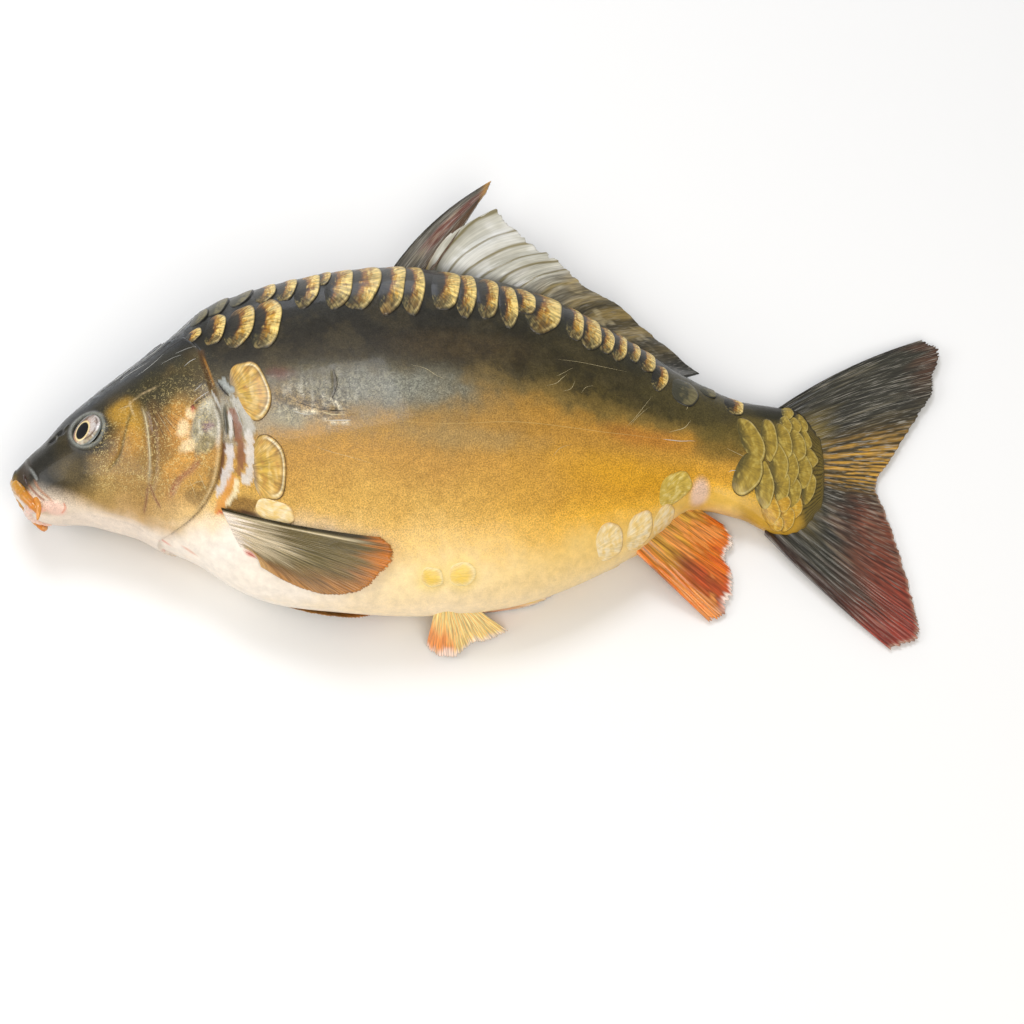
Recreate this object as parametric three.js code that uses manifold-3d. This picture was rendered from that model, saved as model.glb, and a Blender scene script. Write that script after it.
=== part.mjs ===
// A whole raw mirror carp, 450 mm long, lying on its right flank.
// Millimetres. +X runs to the tail, +Y to the back, +Z up out of the left flank.
// The origin is the middle of the flat patch on which the trunk rests.
//
// Everything is one solid: body, gill covers, eyes, lips, barbels, scales and fins are one piece of fish.

import * as THREE from 'three';
import { mergeVertices } from 'three/addons/utils/BufferGeometryUtils.js';
import Module from 'manifold-3d';

const wasm = await Module();
wasm.setup();

// Driving sizes

// The trunk from the snout to the root of the tail. back and belly are the edges of the middle plane,
// half is half the fish's thickness and mid is how high that plane lies.
const STATIONS = [
  { x: -184, back: -15, belly: -29, half: 8, mid: 29 },
  { x: -177.5, back: -8, belly: -37, half: 13, mid: 29.5 },
  { x: -170.5, back: -1.5, belly: -41, half: 17, mid: 30 },
  { x: -161, back: 10, belly: -42, half: 21, mid: 30.5 },
  { x: -150, back: 20, belly: -42.5, half: 24.5, mid: 31 },
  { x: -139, back: 29, belly: -45, half: 27.5, mid: 31.5 },
  { x: -125, back: 39.5, belly: -48.5, half: 31, mid: 32 },
  { x: -110, back: 53.5, belly: -56.5, half: 33.5, mid: 32.5 },
  { x: -96, back: 67, belly: -63.5, half: 35.5, mid: 33 },
  { x: -77, back: 75.5, belly: -76, half: 37, mid: 33 },
  { x: -58, back: 81.5, belly: -83.5, half: 38, mid: 33.2 },
  { x: -29, back: 87.5, belly: -87.5, half: 39, mid: 33.6 },
  { x: 0, back: 89.5, belly: -89.5, half: 39, mid: 33.6 },
  { x: 29, back: 86, belly: -88.5, half: 37.5, mid: 32.7 },
  { x: 58, back: 80, belly: -83, half: 35, mid: 31 },
  { x: 86, back: 68.5, belly: -71.5, half: 30.5, mid: 28 },
  { x: 115, back: 52.5, belly: -53.5, half: 25, mid: 23 },
  { x: 139, back: 38, belly: -31.5, half: 20, mid: 18.5 },
  { x: 163, back: 28, belly: -33, half: 15, mid: 14.5 },
  { x: 182, back: 26, belly: -41, half: 11, mid: 11.5 },
  { x: 195, back: 24, belly: -37.5, half: 7.5, mid: 9.5 },
  { x: 203, back: 14, belly: -27, half: 3.5, mid: 8.8 },
];
const SNOUT_X = STATIONS[0].x;
const TAIL_ROOT_X = STATIONS.at(-1).x;
const SETTLE = 4; // how softly the flesh rounds off where it lies flat
const BACK_FULLNESS = 1.02; // 1 is an ellipse, less is fuller, more is sharper
const BELLY_FULLNESS = 0.86;
const CROWDING = 1.25; // above 1, the rings of the body crowd towards the snout
const GILL_RINGS = 11;
const CLEAR_OF_FLANKS = 45; // more than the fish is thick on either side of its middle
const WIDEST = 0.06; // share of the half depth by which the thickest line lies above the middle

// Small helpers

const mix = (a, b, t) => a + (b - a) * t;
const radians = (degrees) => (degrees * Math.PI) / 180;

function ease(from, to, value) {
  const t = Math.min(1, Math.max(0, (value - from) / (to - from)));
  return t * t * (3 - 2 * t);
}

// The height at which soft flesh that would reach down to z comes to rest.
function settle(z) {
  if (z > SETTLE) return z;
  if (z < -SETTLE) return 0;
  return (z + SETTLE) ** 2 / (4 * SETTLE);
}

// A smooth curve through rows sorted by x, read at x.
function through(rows, key, x) {
  const last = rows.length - 1;
  let i = rows.findIndex((row) => row.x > x) - 1;
  if (x <= rows[0].x) i = 0;
  if (i < 0) i = last - 1;
  const slope = (k) => {
    const a = rows[Math.max(0, k - 1)];
    const b = rows[Math.min(last, k + 1)];
    return (b[key] - a[key]) / (b.x - a.x);
  };
  const span = rows[i + 1].x - rows[i].x;
  const t = Math.min(1, Math.max(0, (x - rows[i].x) / span));
  const start = (1 + 2 * t) * (1 - t) ** 2 * rows[i][key] + t * (1 - t) ** 2 * span * slope(i);
  const end = t * t * (3 - 2 * t) * rows[i + 1][key] + t * t * (t - 1) * span * slope(i + 1);
  return start + end;
}

function solidFrom(positions, indices) {
  const geometry = new THREE.BufferGeometry();
  geometry.setAttribute('position', new THREE.Float32BufferAttribute(positions, 3));
  geometry.setIndex(indices);
  return solidOf(geometry);
}

function solidOf(geometry) {
  geometry.deleteAttribute('normal');
  geometry.deleteAttribute('uv');
  const merged = mergeVertices(geometry, 1e-4);
  const vertProperties = new Float32Array(merged.attributes.position.array);
  const made = (triVerts) =>
    new wasm.Manifold(new wasm.Mesh({ numProp: 3, vertProperties, triVerts }));
  const solid = made(new Uint32Array(merged.index.array));
  return solid.volume() > 0 ? solid : made(new Uint32Array(merged.index.array).reverse());
}

// Closes a run of rings, each with the same number of points, into one solid with a fan at each end.
function lofted(rings) {
  const sides = rings[0].length;
  const positions = rings.flat().flatMap((p) => [p.x, p.y, p.z]);
  const indices = [];
  for (let j = 0; j < rings.length - 1; j++) {
    for (let i = 0; i < sides; i++) {
      const a = j * sides + i;
      const b = j * sides + ((i + 1) % sides);
      indices.push(a, b, b + sides, a, b + sides, a + sides);
    }
  }
  for (const j of [0, rings.length - 1]) {
    const hub = positions.length / 3;
    const middle = rings[j].reduce((sum, p) => sum.add(p), new THREE.Vector3()).divideScalar(sides);
    positions.push(middle.x, middle.y, middle.z);
    for (let i = 0; i < sides; i++) {
      const a = j * sides + i;
      const b = j * sides + ((i + 1) % sides);
      indices.push(hub, ...(j ? [a, b] : [b, a]));
    }
  }
  return solidFrom(positions, indices);
}

// A round tube that thins and thickens along a curve.
function tube(points, radiusAt, steps, sides) {
  const curve = new THREE.CatmullRomCurve3(points);
  const frames = curve.computeFrenetFrames(steps, false);
  const rings = [];
  for (let j = 0; j <= steps; j++) {
    const centre = curve.getPointAt(j / steps);
    const radius = radiusAt(j / steps);
    rings.push(
      Array.from({ length: sides }, (_, i) => {
        const turn = (2 * Math.PI * i) / sides;
        return centre
          .clone()
          .addScaledVector(frames.normals[j], radius * Math.cos(turn))
          .addScaledVector(frames.binormals[j], radius * Math.sin(turn));
      }),
    );
  }
  return lofted(rings);
}

// Body

// A point of the skin. angle runs from 0 at the ridge of the back, by 90 degrees on the left flank
// and 180 at the keel of the belly, round the right flank. swell lifts it off the skin.
function skin(x, angle, swell = 0) {
  const back = through(STATIONS, 'back', x);
  const belly = through(STATIONS, 'belly', x);
  const depth = (back - belly) / 2 + swell;
  const half = through(STATIONS, 'half', x) + swell;
  const up = Math.cos(radians(angle));
  const out = Math.abs(Math.sin(radians(angle)));
  const fullness = mix(BELLY_FULLNESS, BACK_FULLNESS, (1 + up) / 2);
  const side = angle % 360 > 180 ? -1 : 1;
  const y = (back + belly) / 2 + depth * (up + WIDEST * out * out);
  const z = through(STATIONS, 'mid', x) + side * half * out ** fullness;
  return new THREE.Vector3(x, y, settle(z));
}

function skinNormal(x, angle) {
  const alongX = skin(x + 1, angle).sub(skin(x - 1, angle));
  const around = skin(x, angle + 2).sub(skin(x, angle - 2));
  return around.cross(alongX).normalize();
}

// Rings lie closer together on the head, which has the most shape.
function bodyStations(from, to, count) {
  return Array.from({ length: count + 1 }, (_, j) => mix(from, to, (j / count) ** CROWDING));
}

function bodySolid(xs, sides, swellAt) {
  return lofted(
    xs.map((x) =>
      Array.from({ length: sides }, (_, i) => skin(x, (360 * i) / sides, swellAt(x, (360 * i) / sides))),
    ),
  );
}

const BODY_SIDES = 32;
const TRUNK_RINGS = 44;

function trunk() {
  return bodySolid(bodyStations(SNOUT_X, TAIL_ROOT_X, TRUNK_RINGS), BODY_SIDES, () => 0);
}

// Head

// The free edge of the gill cover, seen from the side, from the nape down to the throat.
const GILL_EDGE = [
  [-105, 41],
  [-97, 27],
  [-88.5, 11],
  [-83.5, -5],
  [-82.5, -18],
  [-84.8, -33],
  [-92, -46.5],
  [-103, -55],
  [-114, -58],
];
const GILL = { front: -148, hind: -80, flush: -150, proud: -112, lift: 1.7, sunk: 0.6 };
const CHEEK = { top: [-130, 34], throat: [-134, -50], chin: [-140, -30], eye: [-140, 15] };

// Both gill covers: the head swollen a little, kept only in front of the free edge.
function gillCovers() {
  const lift = (x) => GILL.lift * ease(GILL.flush, GILL.proud, x) - GILL.sunk;
  const swollen = bodySolid(bodyStations(GILL.front, GILL.hind, GILL_RINGS), BODY_SIDES, lift);
  const outline = new THREE.Shape();
  outline.moveTo(...CHEEK.top);
  outline.splineThru(GILL_EDGE.map(([x, y]) => new THREE.Vector2(x, y)));
  outline.quadraticCurveTo(...CHEEK.throat, ...CHEEK.chin);
  outline.lineTo(...CHEEK.eye);
  const cutter = new THREE.ExtrudeGeometry(outline, {
    depth: 2 * CLEAR_OF_FLANKS,
    bevelEnabled: false,
    curveSegments: 3,
  });
  cutter.translate(0, 0, -CLEAR_OF_FLANKS / 2);
  return swollen.intersect(solidOf(cutter));
}

const EYE = { x: -148.4, angle: 83, radius: 8.4, bulge: 3.2 };

// The section of an eye in shares of its radius and bulge: a low dome in a soft ring of skin.
const EYE_SECTION = [
  [0, -1.25],
  [1.12, -0.47],
  [1.08, 0.19],
  [0.92, 0.35],
  [0.84, 0.28],
  [0.5, 0.8],
  [0, 1],
];
const EYE_SIDES = 12;

function eye(side) {
  const angle = side > 0 ? EYE.angle : 360 - EYE.angle;
  const centre = skin(EYE.x, angle);
  const outward = skinNormal(EYE.x, angle);
  const section = EYE_SECTION.map(([r, h]) => new THREE.Vector2(r * EYE.radius, h * EYE.bulge));
  const dome = new THREE.LatheGeometry(section, EYE_SIDES);
  dome.applyQuaternion(new THREE.Quaternion().setFromUnitVectors(new THREE.Vector3(0, 1, 0), outward));
  dome.translate(centre.x, centre.y, centre.z);
  return solidOf(dome);
}

// A lip is a tube bent round the mouth from corner to corner.
function lip(tip, corner, radius) {
  const points = [-1, -0.72, -0.38, 0, 0.38, 0.72, 1].map((q) => {
    const turn = (q * Math.PI) / 2;
    const back = 1 - Math.cos(turn);
    return new THREE.Vector3(
      mix(tip.x, corner.x, back),
      mix(tip.y, corner.y, back),
      tip.z + Math.sin(turn) * corner.reach,
    );
  });
  return tube(points, (t) => radius * (0.72 + 0.28 * Math.sin(Math.PI * t)), 10, 6);
}

const MOUTH_Z = 29;
const LIPS = [
  { tip: { x: -184.5, y: -21.5, z: MOUTH_Z }, corner: { x: -170, y: -39, reach: 11 }, radius: 3.1 },
  { tip: { x: -179.5, y: -36, z: MOUTH_Z }, corner: { x: -169, y: -39.5, reach: 9.5 }, radius: 2.8 },
];
const BARBELS = [
  { from: [-173, -31.5, 11], bend: [-172.8, -36, 12.5], to: [-171.5, -40, 11.5], thick: 1.5 },
  { from: [-179, -20, 9.5], bend: [-178.6, -24, 11.5], to: [-177, -28, 12], thick: 1 },
];

// Barbels hang in pairs from the corner of the mouth and from the upper lip.
function barbel({ from, bend, to, thick }, side) {
  const points = [from, bend, to].map(([x, y, out]) => new THREE.Vector3(x, y, MOUTH_Z + side * out));
  return tube(points, (t) => thick * (1 - 0.55 * t), 4, 5);
}

// Scales

// A scale is a low shield whose hind edge stands proud and whose front sinks into the skin.
const SCALE = { sunk: 1.2, lift: 0.75, tilt: 5, sides: 8, off: 0.25 };

function scale({ x, angle, long, tall }) {
  const section = [
    [0, -SCALE.sunk],
    [1, 0],
    [0, SCALE.lift],
  ];
  const shield = new THREE.LatheGeometry(section.map(([r, h]) => new THREE.Vector2(r, h)), SCALE.sides);
  shield.scale(long / 2, 1, tall / 2);
  shield.rotateZ(radians(SCALE.tilt));
  const outward = skinNormal(x, angle);
  const tailward = new THREE.Vector3(1, 0, 0).addScaledVector(outward, -outward.x).normalize();
  const across = new THREE.Vector3().crossVectors(tailward, outward);
  const centre = skin(x, angle).addScaledVector(outward, SCALE.off);
  shield.applyMatrix4(new THREE.Matrix4().makeBasis(tailward, outward, across).setPosition(centre));
  return solidOf(shield);
}

// The mirror scales of one flank, as sizes and places on the skin.
function mirrorScales() {
  const rows = [];
  const row = (count, from, to, long, tall, tallEnd) => {
    for (let i = 0; i < count; i++) {
      const t = count > 1 ? i / (count - 1) : 0;
      rows.push({
        x: mix(from[0], to[0], t),
        angle: mix(from[1], to[1], t),
        long: long * (0.94 + 0.12 * ((i * 7) % 3)),
        tall: mix(tall, tallEnd, t) * (0.92 + 0.1 * ((i * 5) % 4)),
      });
    }
  };
  row(4, [-98, 40], [-66, 50], 12, 17, 23);
  row(4, [-84, 24], [-60, 30], 10, 12, 12);
  row(16, [-50, 38], [88, 33], 11.5, 24, 20);
  row(6, [96, 31], [130, 46], 9.5, 14, 13);
  row(3, [138, 52], [162, 40], 10, 11, 10);
  for (const [x, angle, long, tall] of SHOULDER_SCALES) rows.push({ x, angle, long, tall });
  row(2, [168, 70], [168, 110], 12, 26, 24);
  row(4, [179, 50], [179, 140], 9, 16, 14);
  row(5, [188, 45], [188, 140], 8, 12, 11);
  row(3, [94, 152], [128, 140], 14, 18, 14);
  return rows;
}

const SHOULDER_SCALES = [
  [-72, 82, 12, 23],
  [-64, 108, 13, 29],
  [-56, 128, 12, 15],
  [134, 132, 17, 15],
];

// Fins

function curveThrough(points) {
  const places = points.map((p) => new THREE.Vector3(...p));
  return new THREE.CatmullRomCurve3(places, false, 'chordal');
}

const RAY_HALF = 0.5; // half the fin's thickness on a ray
const WEB_HALF = 0.3; // and between two rays, in shares of the thickness
const TAPER = 0.7; // below 1, a ray loses most of its thickness near the root

// A fin is a thin web over rays. root and rim run from the leading ray to the last one as [x, y, z];
// bow bends each ray sideways and arch lifts it. The faces swell on each ray and thin out at the rim.
function fin({ root, rim, rays, steps, thick, thin, bow = () => 0, arch = 0, notch = 0.02 }) {
  const rootCurve = curveThrough(root);
  const rimCurve = curveThrough(rim);
  const columns = 2 * (rays - 1);
  const middle = [];
  for (let i = 0; i <= columns; i++) {
    const u = i / columns;
    const onRay = i % 2 === 0;
    const start = rootCurve.getPoint(u);
    const end = rimCurve.getPoint(u).lerp(start, onRay ? 0 : notch);
    const bend = bow(u);
    const sideways = new THREE.Vector3(-(end.y - start.y), end.x - start.x, 0).normalize();
    for (let j = 0; j <= steps; j++) {
      const v = j / steps;
      const swing = 4 * v * (1 - v);
      const p = start.clone().lerp(end, v).addScaledVector(sideways, bend * swing);
      p.z += arch * swing;
      const half = mix(thick, thin, v ** TAPER) * (onRay ? RAY_HALF : WEB_HALF);
      middle.push({ p, half });
    }
  }
  const rows = steps + 1;
  const positions = [];
  for (const face of [1, -1]) {
    for (const { p, half } of middle) {
      positions.push(p.x, p.y, Math.max(half * (1 + face), p.z + face * half));
    }
  }
  const indices = [];
  const lower = middle.length;
  const quad = (a, b, c, d) => indices.push(a, b, c, a, c, d);
  for (let i = 0; i < columns; i++) {
    for (let j = 0; j < steps; j++) {
      const a = i * rows + j;
      quad(a, a + rows, a + rows + 1, a + 1);
      quad(lower + a, lower + a + 1, lower + a + rows + 1, lower + a + rows);
    }
    const low = i * rows;
    const high = i * rows + steps;
    quad(low, lower + low, lower + low + rows, low + rows);
    quad(high + rows, lower + high + rows, lower + high, high);
  }
  for (let j = 0; j < steps; j++) {
    const last = columns * rows + j;
    quad(j + 1, lower + j + 1, lower + j, j);
    quad(last, lower + last, lower + last + 1, last + 1);
  }
  return solidFrom(positions, indices);
}

// A point sunk under the skin, from which a fin grows.
function rooted(x, angle, sunk) {
  const p = skin(x, angle, -sunk);
  return [p.x, p.y, p.z];
}

// The dorsal fin has a stout saw-edged spine in front, pressed against its first two rays.
const DORSAL_SPINE_RIM = [
  [43.5, 143, 26],
  [42.4, 140, 26],
  [41, 136.5, 26.4],
  [39, 134, 26.6],
];

function dorsalSpine() {
  const root = [-7, 0, 7, 13].map((x) => rooted(x, 0, 3));
  return fin({
    root,
    rim: DORSAL_SPINE_RIM,
    rays: 4,
    steps: 4,
    thick: 5,
    thin: 1.6,
    bow: (u) => mix(4.5, 0, u),
  });
}

// Behind the spine the soft rays lie further and further back towards the tail.
const DORSAL_RIM = [
  [27, 115, 29],
  [37, 121, 27],
  [47, 127.5, 26],
  [55, 116, 27],
  [63, 109, 27],
  [72, 102, 27],
  [79, 97, 26],
  [86, 89, 25],
  [105, 78, 21],
  [124, 62, 16],
  [146, 44.5, 11],
];
const DORSAL_RAYS = 14;

function dorsalFin() {
  const root = [12, 36, 60, 84, 108, 134].map((x) => rooted(x, 0, 3));
  return fin({
    root,
    rim: DORSAL_RIM,
    rays: DORSAL_RAYS,
    steps: 3,
    thick: 4.2,
    thin: 1.3,
    bow: (u) => 3 * (1 - u),
  });
}

// The tail: two lobes about a shallow fork, lying flat at its rim.
const TAIL_ROOT = [
  [184, 25, 10.5],
  [192, 18, 9.4],
  [196, 3, 9],
  [195, -14, 9],
  [188, -30, 9.6],
  [176, -39.5, 10.5],
];
const TAIL_RIM = [
  [257.5, 65.5, 5],
  [266, 60, 4.5],
  [262, 46, 4],
  [261.5, 38, 4],
  [254.5, 26, 3.4],
  [240, 2.5, 3],
  [232, -11, 3],
  [236.5, -27.5, 3],
  [243, -51, 2.4],
  [248.5, -78, 2],
  [249.5, -90, 2],
  [236, -97, 2],
];
const TAIL_RAYS = 18;

function tailFin() {
  return fin({
    root: TAIL_ROOT,
    rim: TAIL_RIM,
    rays: TAIL_RAYS,
    steps: 4,
    thick: 6,
    thin: 1.2,
    bow: (u) => (u < 0.5 ? 3.4 : -1.5) * Math.abs(1 - 2 * u),
  });
}

// The anal fin spreads out flat behind the vent.
const ANAL_RIM = [
  [149, -82.5, 2],
  [155.5, -79.5, 2],
  [161, -68, 2],
  [160, -56, 2.5],
  [157.5, -49, 3],
  [161.5, -42, 4],
  [157, -34, 6],
];

function analFin() {
  const root = [112, 119, 126, 133, 140].map((x) => rooted(x, 180, 2.5));
  return fin({ root, rim: ANAL_RIM, rays: 9, steps: 3, thick: 5, thin: 1.3 });
}

// Each pectoral fin folds back along the flank, a little off the skin, from behind the gill cover.
const PECTORAL_RIM = [
  [-7, 135.5, 4],
  [-2, 139, 4.5],
  [-1.5, 143, 4.5],
  [-6, 148.5, 4],
  [-16, 158, 3.5],
  [-33, 163, 3],
  [-52, 158, 2.5],
  [-64, 153, 2],
];

function pectoralFin(side) {
  const turned = (angle) => (side > 0 ? angle : 360 - angle);
  const lifted = ([x, angle, lift]) => {
    const p = skin(x, turned(angle), lift);
    return [p.x, p.y, side > 0 ? p.z : Math.max(p.z, 1.2)];
  };
  const root = [
    [-83, 134, -1.2],
    [-80, 139, -1.2],
    [-77, 144, -1.2],
    [-74, 149, -1.2],
  ];
  return fin({
    root: root.map(lifted),
    rim: PECTORAL_RIM.map(lifted),
    rays: side > 0 ? 12 : 9,
    steps: 3,
    thick: 4.4,
    thin: 1.2,
    bow: (u) => mix(-2.5, 4, u) * side * 0.6,
    arch: 3.4 * side,
  });
}

// The left pelvic fin hangs down over the belly; the right one is folded under it.
const LEFT_PELVIC = {
  root: [
    [31, 171, -1.5],
    [25, 173, -1.5],
    [18, 175, -1.5],
  ],
  rim: [
    [52, -87, 1.6],
    [43, -91.5, 1.5],
    [34, -94, 1.5],
    [27, -100, 1.5],
    [18, -99.5, 1.5],
    [12.5, -95, 1.6],
  ],
};
const RIGHT_PELVIC = {
  root: [
    [31, 196, -1.5],
    [25, 193, -1.5],
    [18, 190, -1.5],
  ],
  rim: [
    [74, -58, 1.4],
    [76, -65, 1.3],
    [70, -71, 1.3],
    [58, -75, 1.3],
    [46, -77, 1.4],
  ],
};

function pelvicFin({ root, rim }) {
  const grown = root.map(([x, angle, lift]) => rooted(x, angle, -lift));
  return fin({ root: grown, rim, rays: 8, steps: 3, thick: 4, thin: 1.2 });
}

// The whole fish

function wholeFish() {
  const pieces = [
    trunk(),
    gillCovers(),
    dorsalSpine(),
    ...LIPS.map(({ tip, corner, radius }) => lip(tip, corner, radius)),
    dorsalFin(),
    tailFin(),
    analFin(),
    pelvicFin(LEFT_PELVIC),
    pelvicFin(RIGHT_PELVIC),
    ...mirrorScales().map(scale),
  ];
  for (const side of [1, -1]) {
    pieces.push(eye(side), pectoralFin(side), ...BARBELS.map((shape) => barbel(shape, side)));
  }
  return outerShell(wasm.Manifold.union(pieces));
}

// Pockets that the join seals are filled, and loose scraps dropped: only the largest shell stays.
function outerShell(solid) {
  const larger = (a, b) => (b.volume() > a.volume() ? b : a);
  return solid.decompose().reduce(larger);
}

function meshOf(solid, name, material) {
  const { numProp, vertProperties, triVerts } = solid.getMesh();
  const positions = [];
  for (let i = 0; i < vertProperties.length; i += numProp) {
    positions.push(...vertProperties.subarray(i, i + 3));
  }
  const geometry = new THREE.BufferGeometry();
  geometry.setAttribute('position', new THREE.Float32BufferAttribute(positions, 3));
  geometry.setIndex([...triVerts]);
  geometry.computeVertexNormals();
  const mesh = new THREE.Mesh(geometry, material);
  mesh.name = name;
  return mesh;
}

const wetSkin = new THREE.MeshStandardMaterial({ color: 0xb38a45, roughness: 0.38, metalness: 0 });

const fish = new THREE.Group();
fish.add(meshOf(wholeFish(), 'fish', wetSkin));

export default fish;
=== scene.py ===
# A whole raw mirror carp, 45 cm long, lying on its right flank.
# The frame is the CAD model's: +X to the tail, +Y to the back, +Z up out of the left flank.
# Sizes are written in millimetres and turned to metres where a mesh is made.

import math
import random
import bpy
import numpy as np
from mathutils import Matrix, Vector, noise


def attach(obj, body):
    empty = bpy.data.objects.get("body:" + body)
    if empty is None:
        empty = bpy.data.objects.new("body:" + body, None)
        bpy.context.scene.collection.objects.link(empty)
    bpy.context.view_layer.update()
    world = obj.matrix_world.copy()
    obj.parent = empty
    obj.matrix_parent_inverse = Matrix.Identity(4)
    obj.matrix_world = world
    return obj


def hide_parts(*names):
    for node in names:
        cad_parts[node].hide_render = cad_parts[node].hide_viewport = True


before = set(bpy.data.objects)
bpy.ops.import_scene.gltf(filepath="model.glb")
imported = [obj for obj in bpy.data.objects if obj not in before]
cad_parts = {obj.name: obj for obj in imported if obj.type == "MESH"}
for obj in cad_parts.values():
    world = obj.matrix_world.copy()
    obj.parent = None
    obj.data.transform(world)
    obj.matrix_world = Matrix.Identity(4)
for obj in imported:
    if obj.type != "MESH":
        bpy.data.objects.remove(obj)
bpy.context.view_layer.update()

# Trunk and head
# Firm flesh under the thin, nearly scaleless skin of a mirror carp, dark on the back and pale below.
# One closed skin runs from the snout to the root of the tail and is pressed flat where the fish lies.

MM = 0.001
STATIONS = np.array([  # along x: edges of the back and belly, half the thickness, height of the middle
    (-184, -15, -29, 8, 29),
    (-177.5, -8, -37, 13, 29.5),
    (-170.5, -1.5, -41, 17, 30),
    (-161, 10, -42, 21, 30.5),
    (-150, 20, -42.5, 24.5, 31),
    (-139, 29, -45, 27.5, 31.5),
    (-125, 39.5, -48.5, 31, 32),
    (-110, 53.5, -56.5, 33.5, 32.5),
    (-96, 67, -63.5, 35.5, 33),
    (-77, 75.5, -76, 37, 33),
    (-58, 81.5, -83.5, 38, 33.2),
    (-29, 87.5, -87.5, 39, 33.6),
    (0, 89.5, -89.5, 39, 33.6),
    (29, 86, -88.5, 37.5, 32.7),
    (58, 80, -83, 35, 31),
    (86, 68.5, -71.5, 30.5, 28),
    (115, 52.5, -53.5, 25, 23),
    (139, 38, -31.5, 20, 18.5),
    (163, 28, -33, 15, 14.5),
    (182, 26, -41, 11, 11.5),
    (195, 24, -37.5, 7.5, 9.5),
    (203, 14, -27, 3.5, 8.8),
])
BACK, BELLY, HALF, MIDDLE = 1, 2, 3, 4
SNOUT_X = STATIONS[0, 0]
ROOT_X = STATIONS[-1, 0]
SETTLE = 4.0  # how softly the flesh rounds off where it lies flat
REST = 0.5  # the skin of the lower flank lies this high, on its scales
BACK_FULLNESS = 1.02  # 1 is an ellipse, less is fuller, more is sharper
BELLY_FULLNESS = 0.86
WIDEST = 0.06  # share of half the depth by which the thickest line lies above the middle
SKIN_SUNK = 0.02  # the skin stays this far inside the solid, so that its relief has room


def mix(a, b, t):
    return a + (b - a) * t


def ease(start, end, value):
    t = np.clip((value - start) / (end - start), 0, 1)
    return t * t * (3 - 2 * t)


def through(column, x):
    """A smooth curve through one column of the stations, read at x."""
    xs = STATIONS[:, 0]
    ys = STATIONS[:, column]
    last = len(xs) - 1
    before = np.maximum(np.arange(last + 1) - 1, 0)
    after = np.minimum(np.arange(last + 1) + 1, last)
    slope = (ys[after] - ys[before]) / (xs[after] - xs[before])
    i = np.clip(np.searchsorted(xs, x, side="right") - 1, 0, last - 1)
    span = xs[i + 1] - xs[i]
    t = np.clip((x - xs[i]) / span, 0, 1)
    start = (1 + 2 * t) * (1 - t) ** 2 * ys[i] + t * (1 - t) ** 2 * span * slope[i]
    end = t * t * (3 - 2 * t) * ys[i + 1] + t * t * (t - 1) * span * slope[i + 1]
    return start + end


def skin(x, angle, swell=0.0):
    """Points of the skin. angle is 0 at the ridge of the back, 90 on the left flank, 180 at the keel."""
    x, angle, swell = np.broadcast_arrays(np.asarray(x, float), np.asarray(angle, float), swell)
    back = through(BACK, x)
    belly = through(BELLY, x)
    up = np.cos(np.radians(angle))
    out = np.abs(np.sin(np.radians(angle)))
    fullness = mix(BELLY_FULLNESS, BACK_FULLNESS, (1 + up) / 2)
    side = np.where(angle % 360 > 180, -1, 1)
    y = (back + belly) / 2 + ((back - belly) / 2 + swell) * (up + WIDEST * out * out)
    z = through(MIDDLE, x) + side * (through(HALF, x) + swell) * out ** fullness
    soft = np.where(z > SETTLE, z, np.where(z < -SETTLE, 0, (z + SETTLE) ** 2 / (4 * SETTLE)))
    return np.stack([x, y, np.maximum(soft, REST)], axis=-1)


def skin_frame(x, angle):
    """Unit vectors at the skin: along x, round towards the belly, and out."""
    along = skin(x + 0.5, angle) - skin(x - 0.5, angle)
    around = skin(x, angle + 1) - skin(x, angle - 1)
    along /= np.linalg.norm(along, axis=-1, keepdims=True)
    around /= np.linalg.norm(around, axis=-1, keepdims=True)
    out = np.cross(around, along)
    out /= np.maximum(np.linalg.norm(out, axis=-1, keepdims=True), 1e-9)
    return along, around, out


def curve(points, count):
    """count places on a smooth line through points, which may have any number of coordinates."""
    p = np.array(points, float)
    p = np.vstack([2 * p[0] - p[1], p, 2 * p[-1] - p[-2]])
    t = np.linspace(0, len(points) - 1, count)
    i = np.minimum(t.astype(int), len(points) - 2)
    t = (t - i)[:, None]
    a, b, c, d = p[i], p[i + 1], p[i + 2], p[i + 3]
    ab = np.linalg.norm(b - a, axis=1, keepdims=True)
    bc = np.linalg.norm(c - b, axis=1, keepdims=True)
    cd = np.linalg.norm(d - c, axis=1, keepdims=True)
    leave = ((b - a) / ab - (c - a) / (ab + bc) + (c - b) / bc) * bc
    arrive = ((c - b) / bc - (d - b) / (bc + cd) + (d - c) / cd) * bc
    rest = (1 + 2 * t) * (1 - t) ** 2 * b + t * (1 - t) ** 2 * leave
    return rest + t * t * (3 - 2 * t) * c + t * t * (t - 1) * arrive


def rgb(hexcode):
    """An sRGB hex colour as the linear numbers that Blender wants."""
    parts = np.array([int(hexcode[i:i + 2], 16) / 255 for i in (1, 3, 5)])
    return np.where(parts <= 0.04045, parts / 12.92, ((parts + 0.055) / 1.055) ** 2.4)


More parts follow.
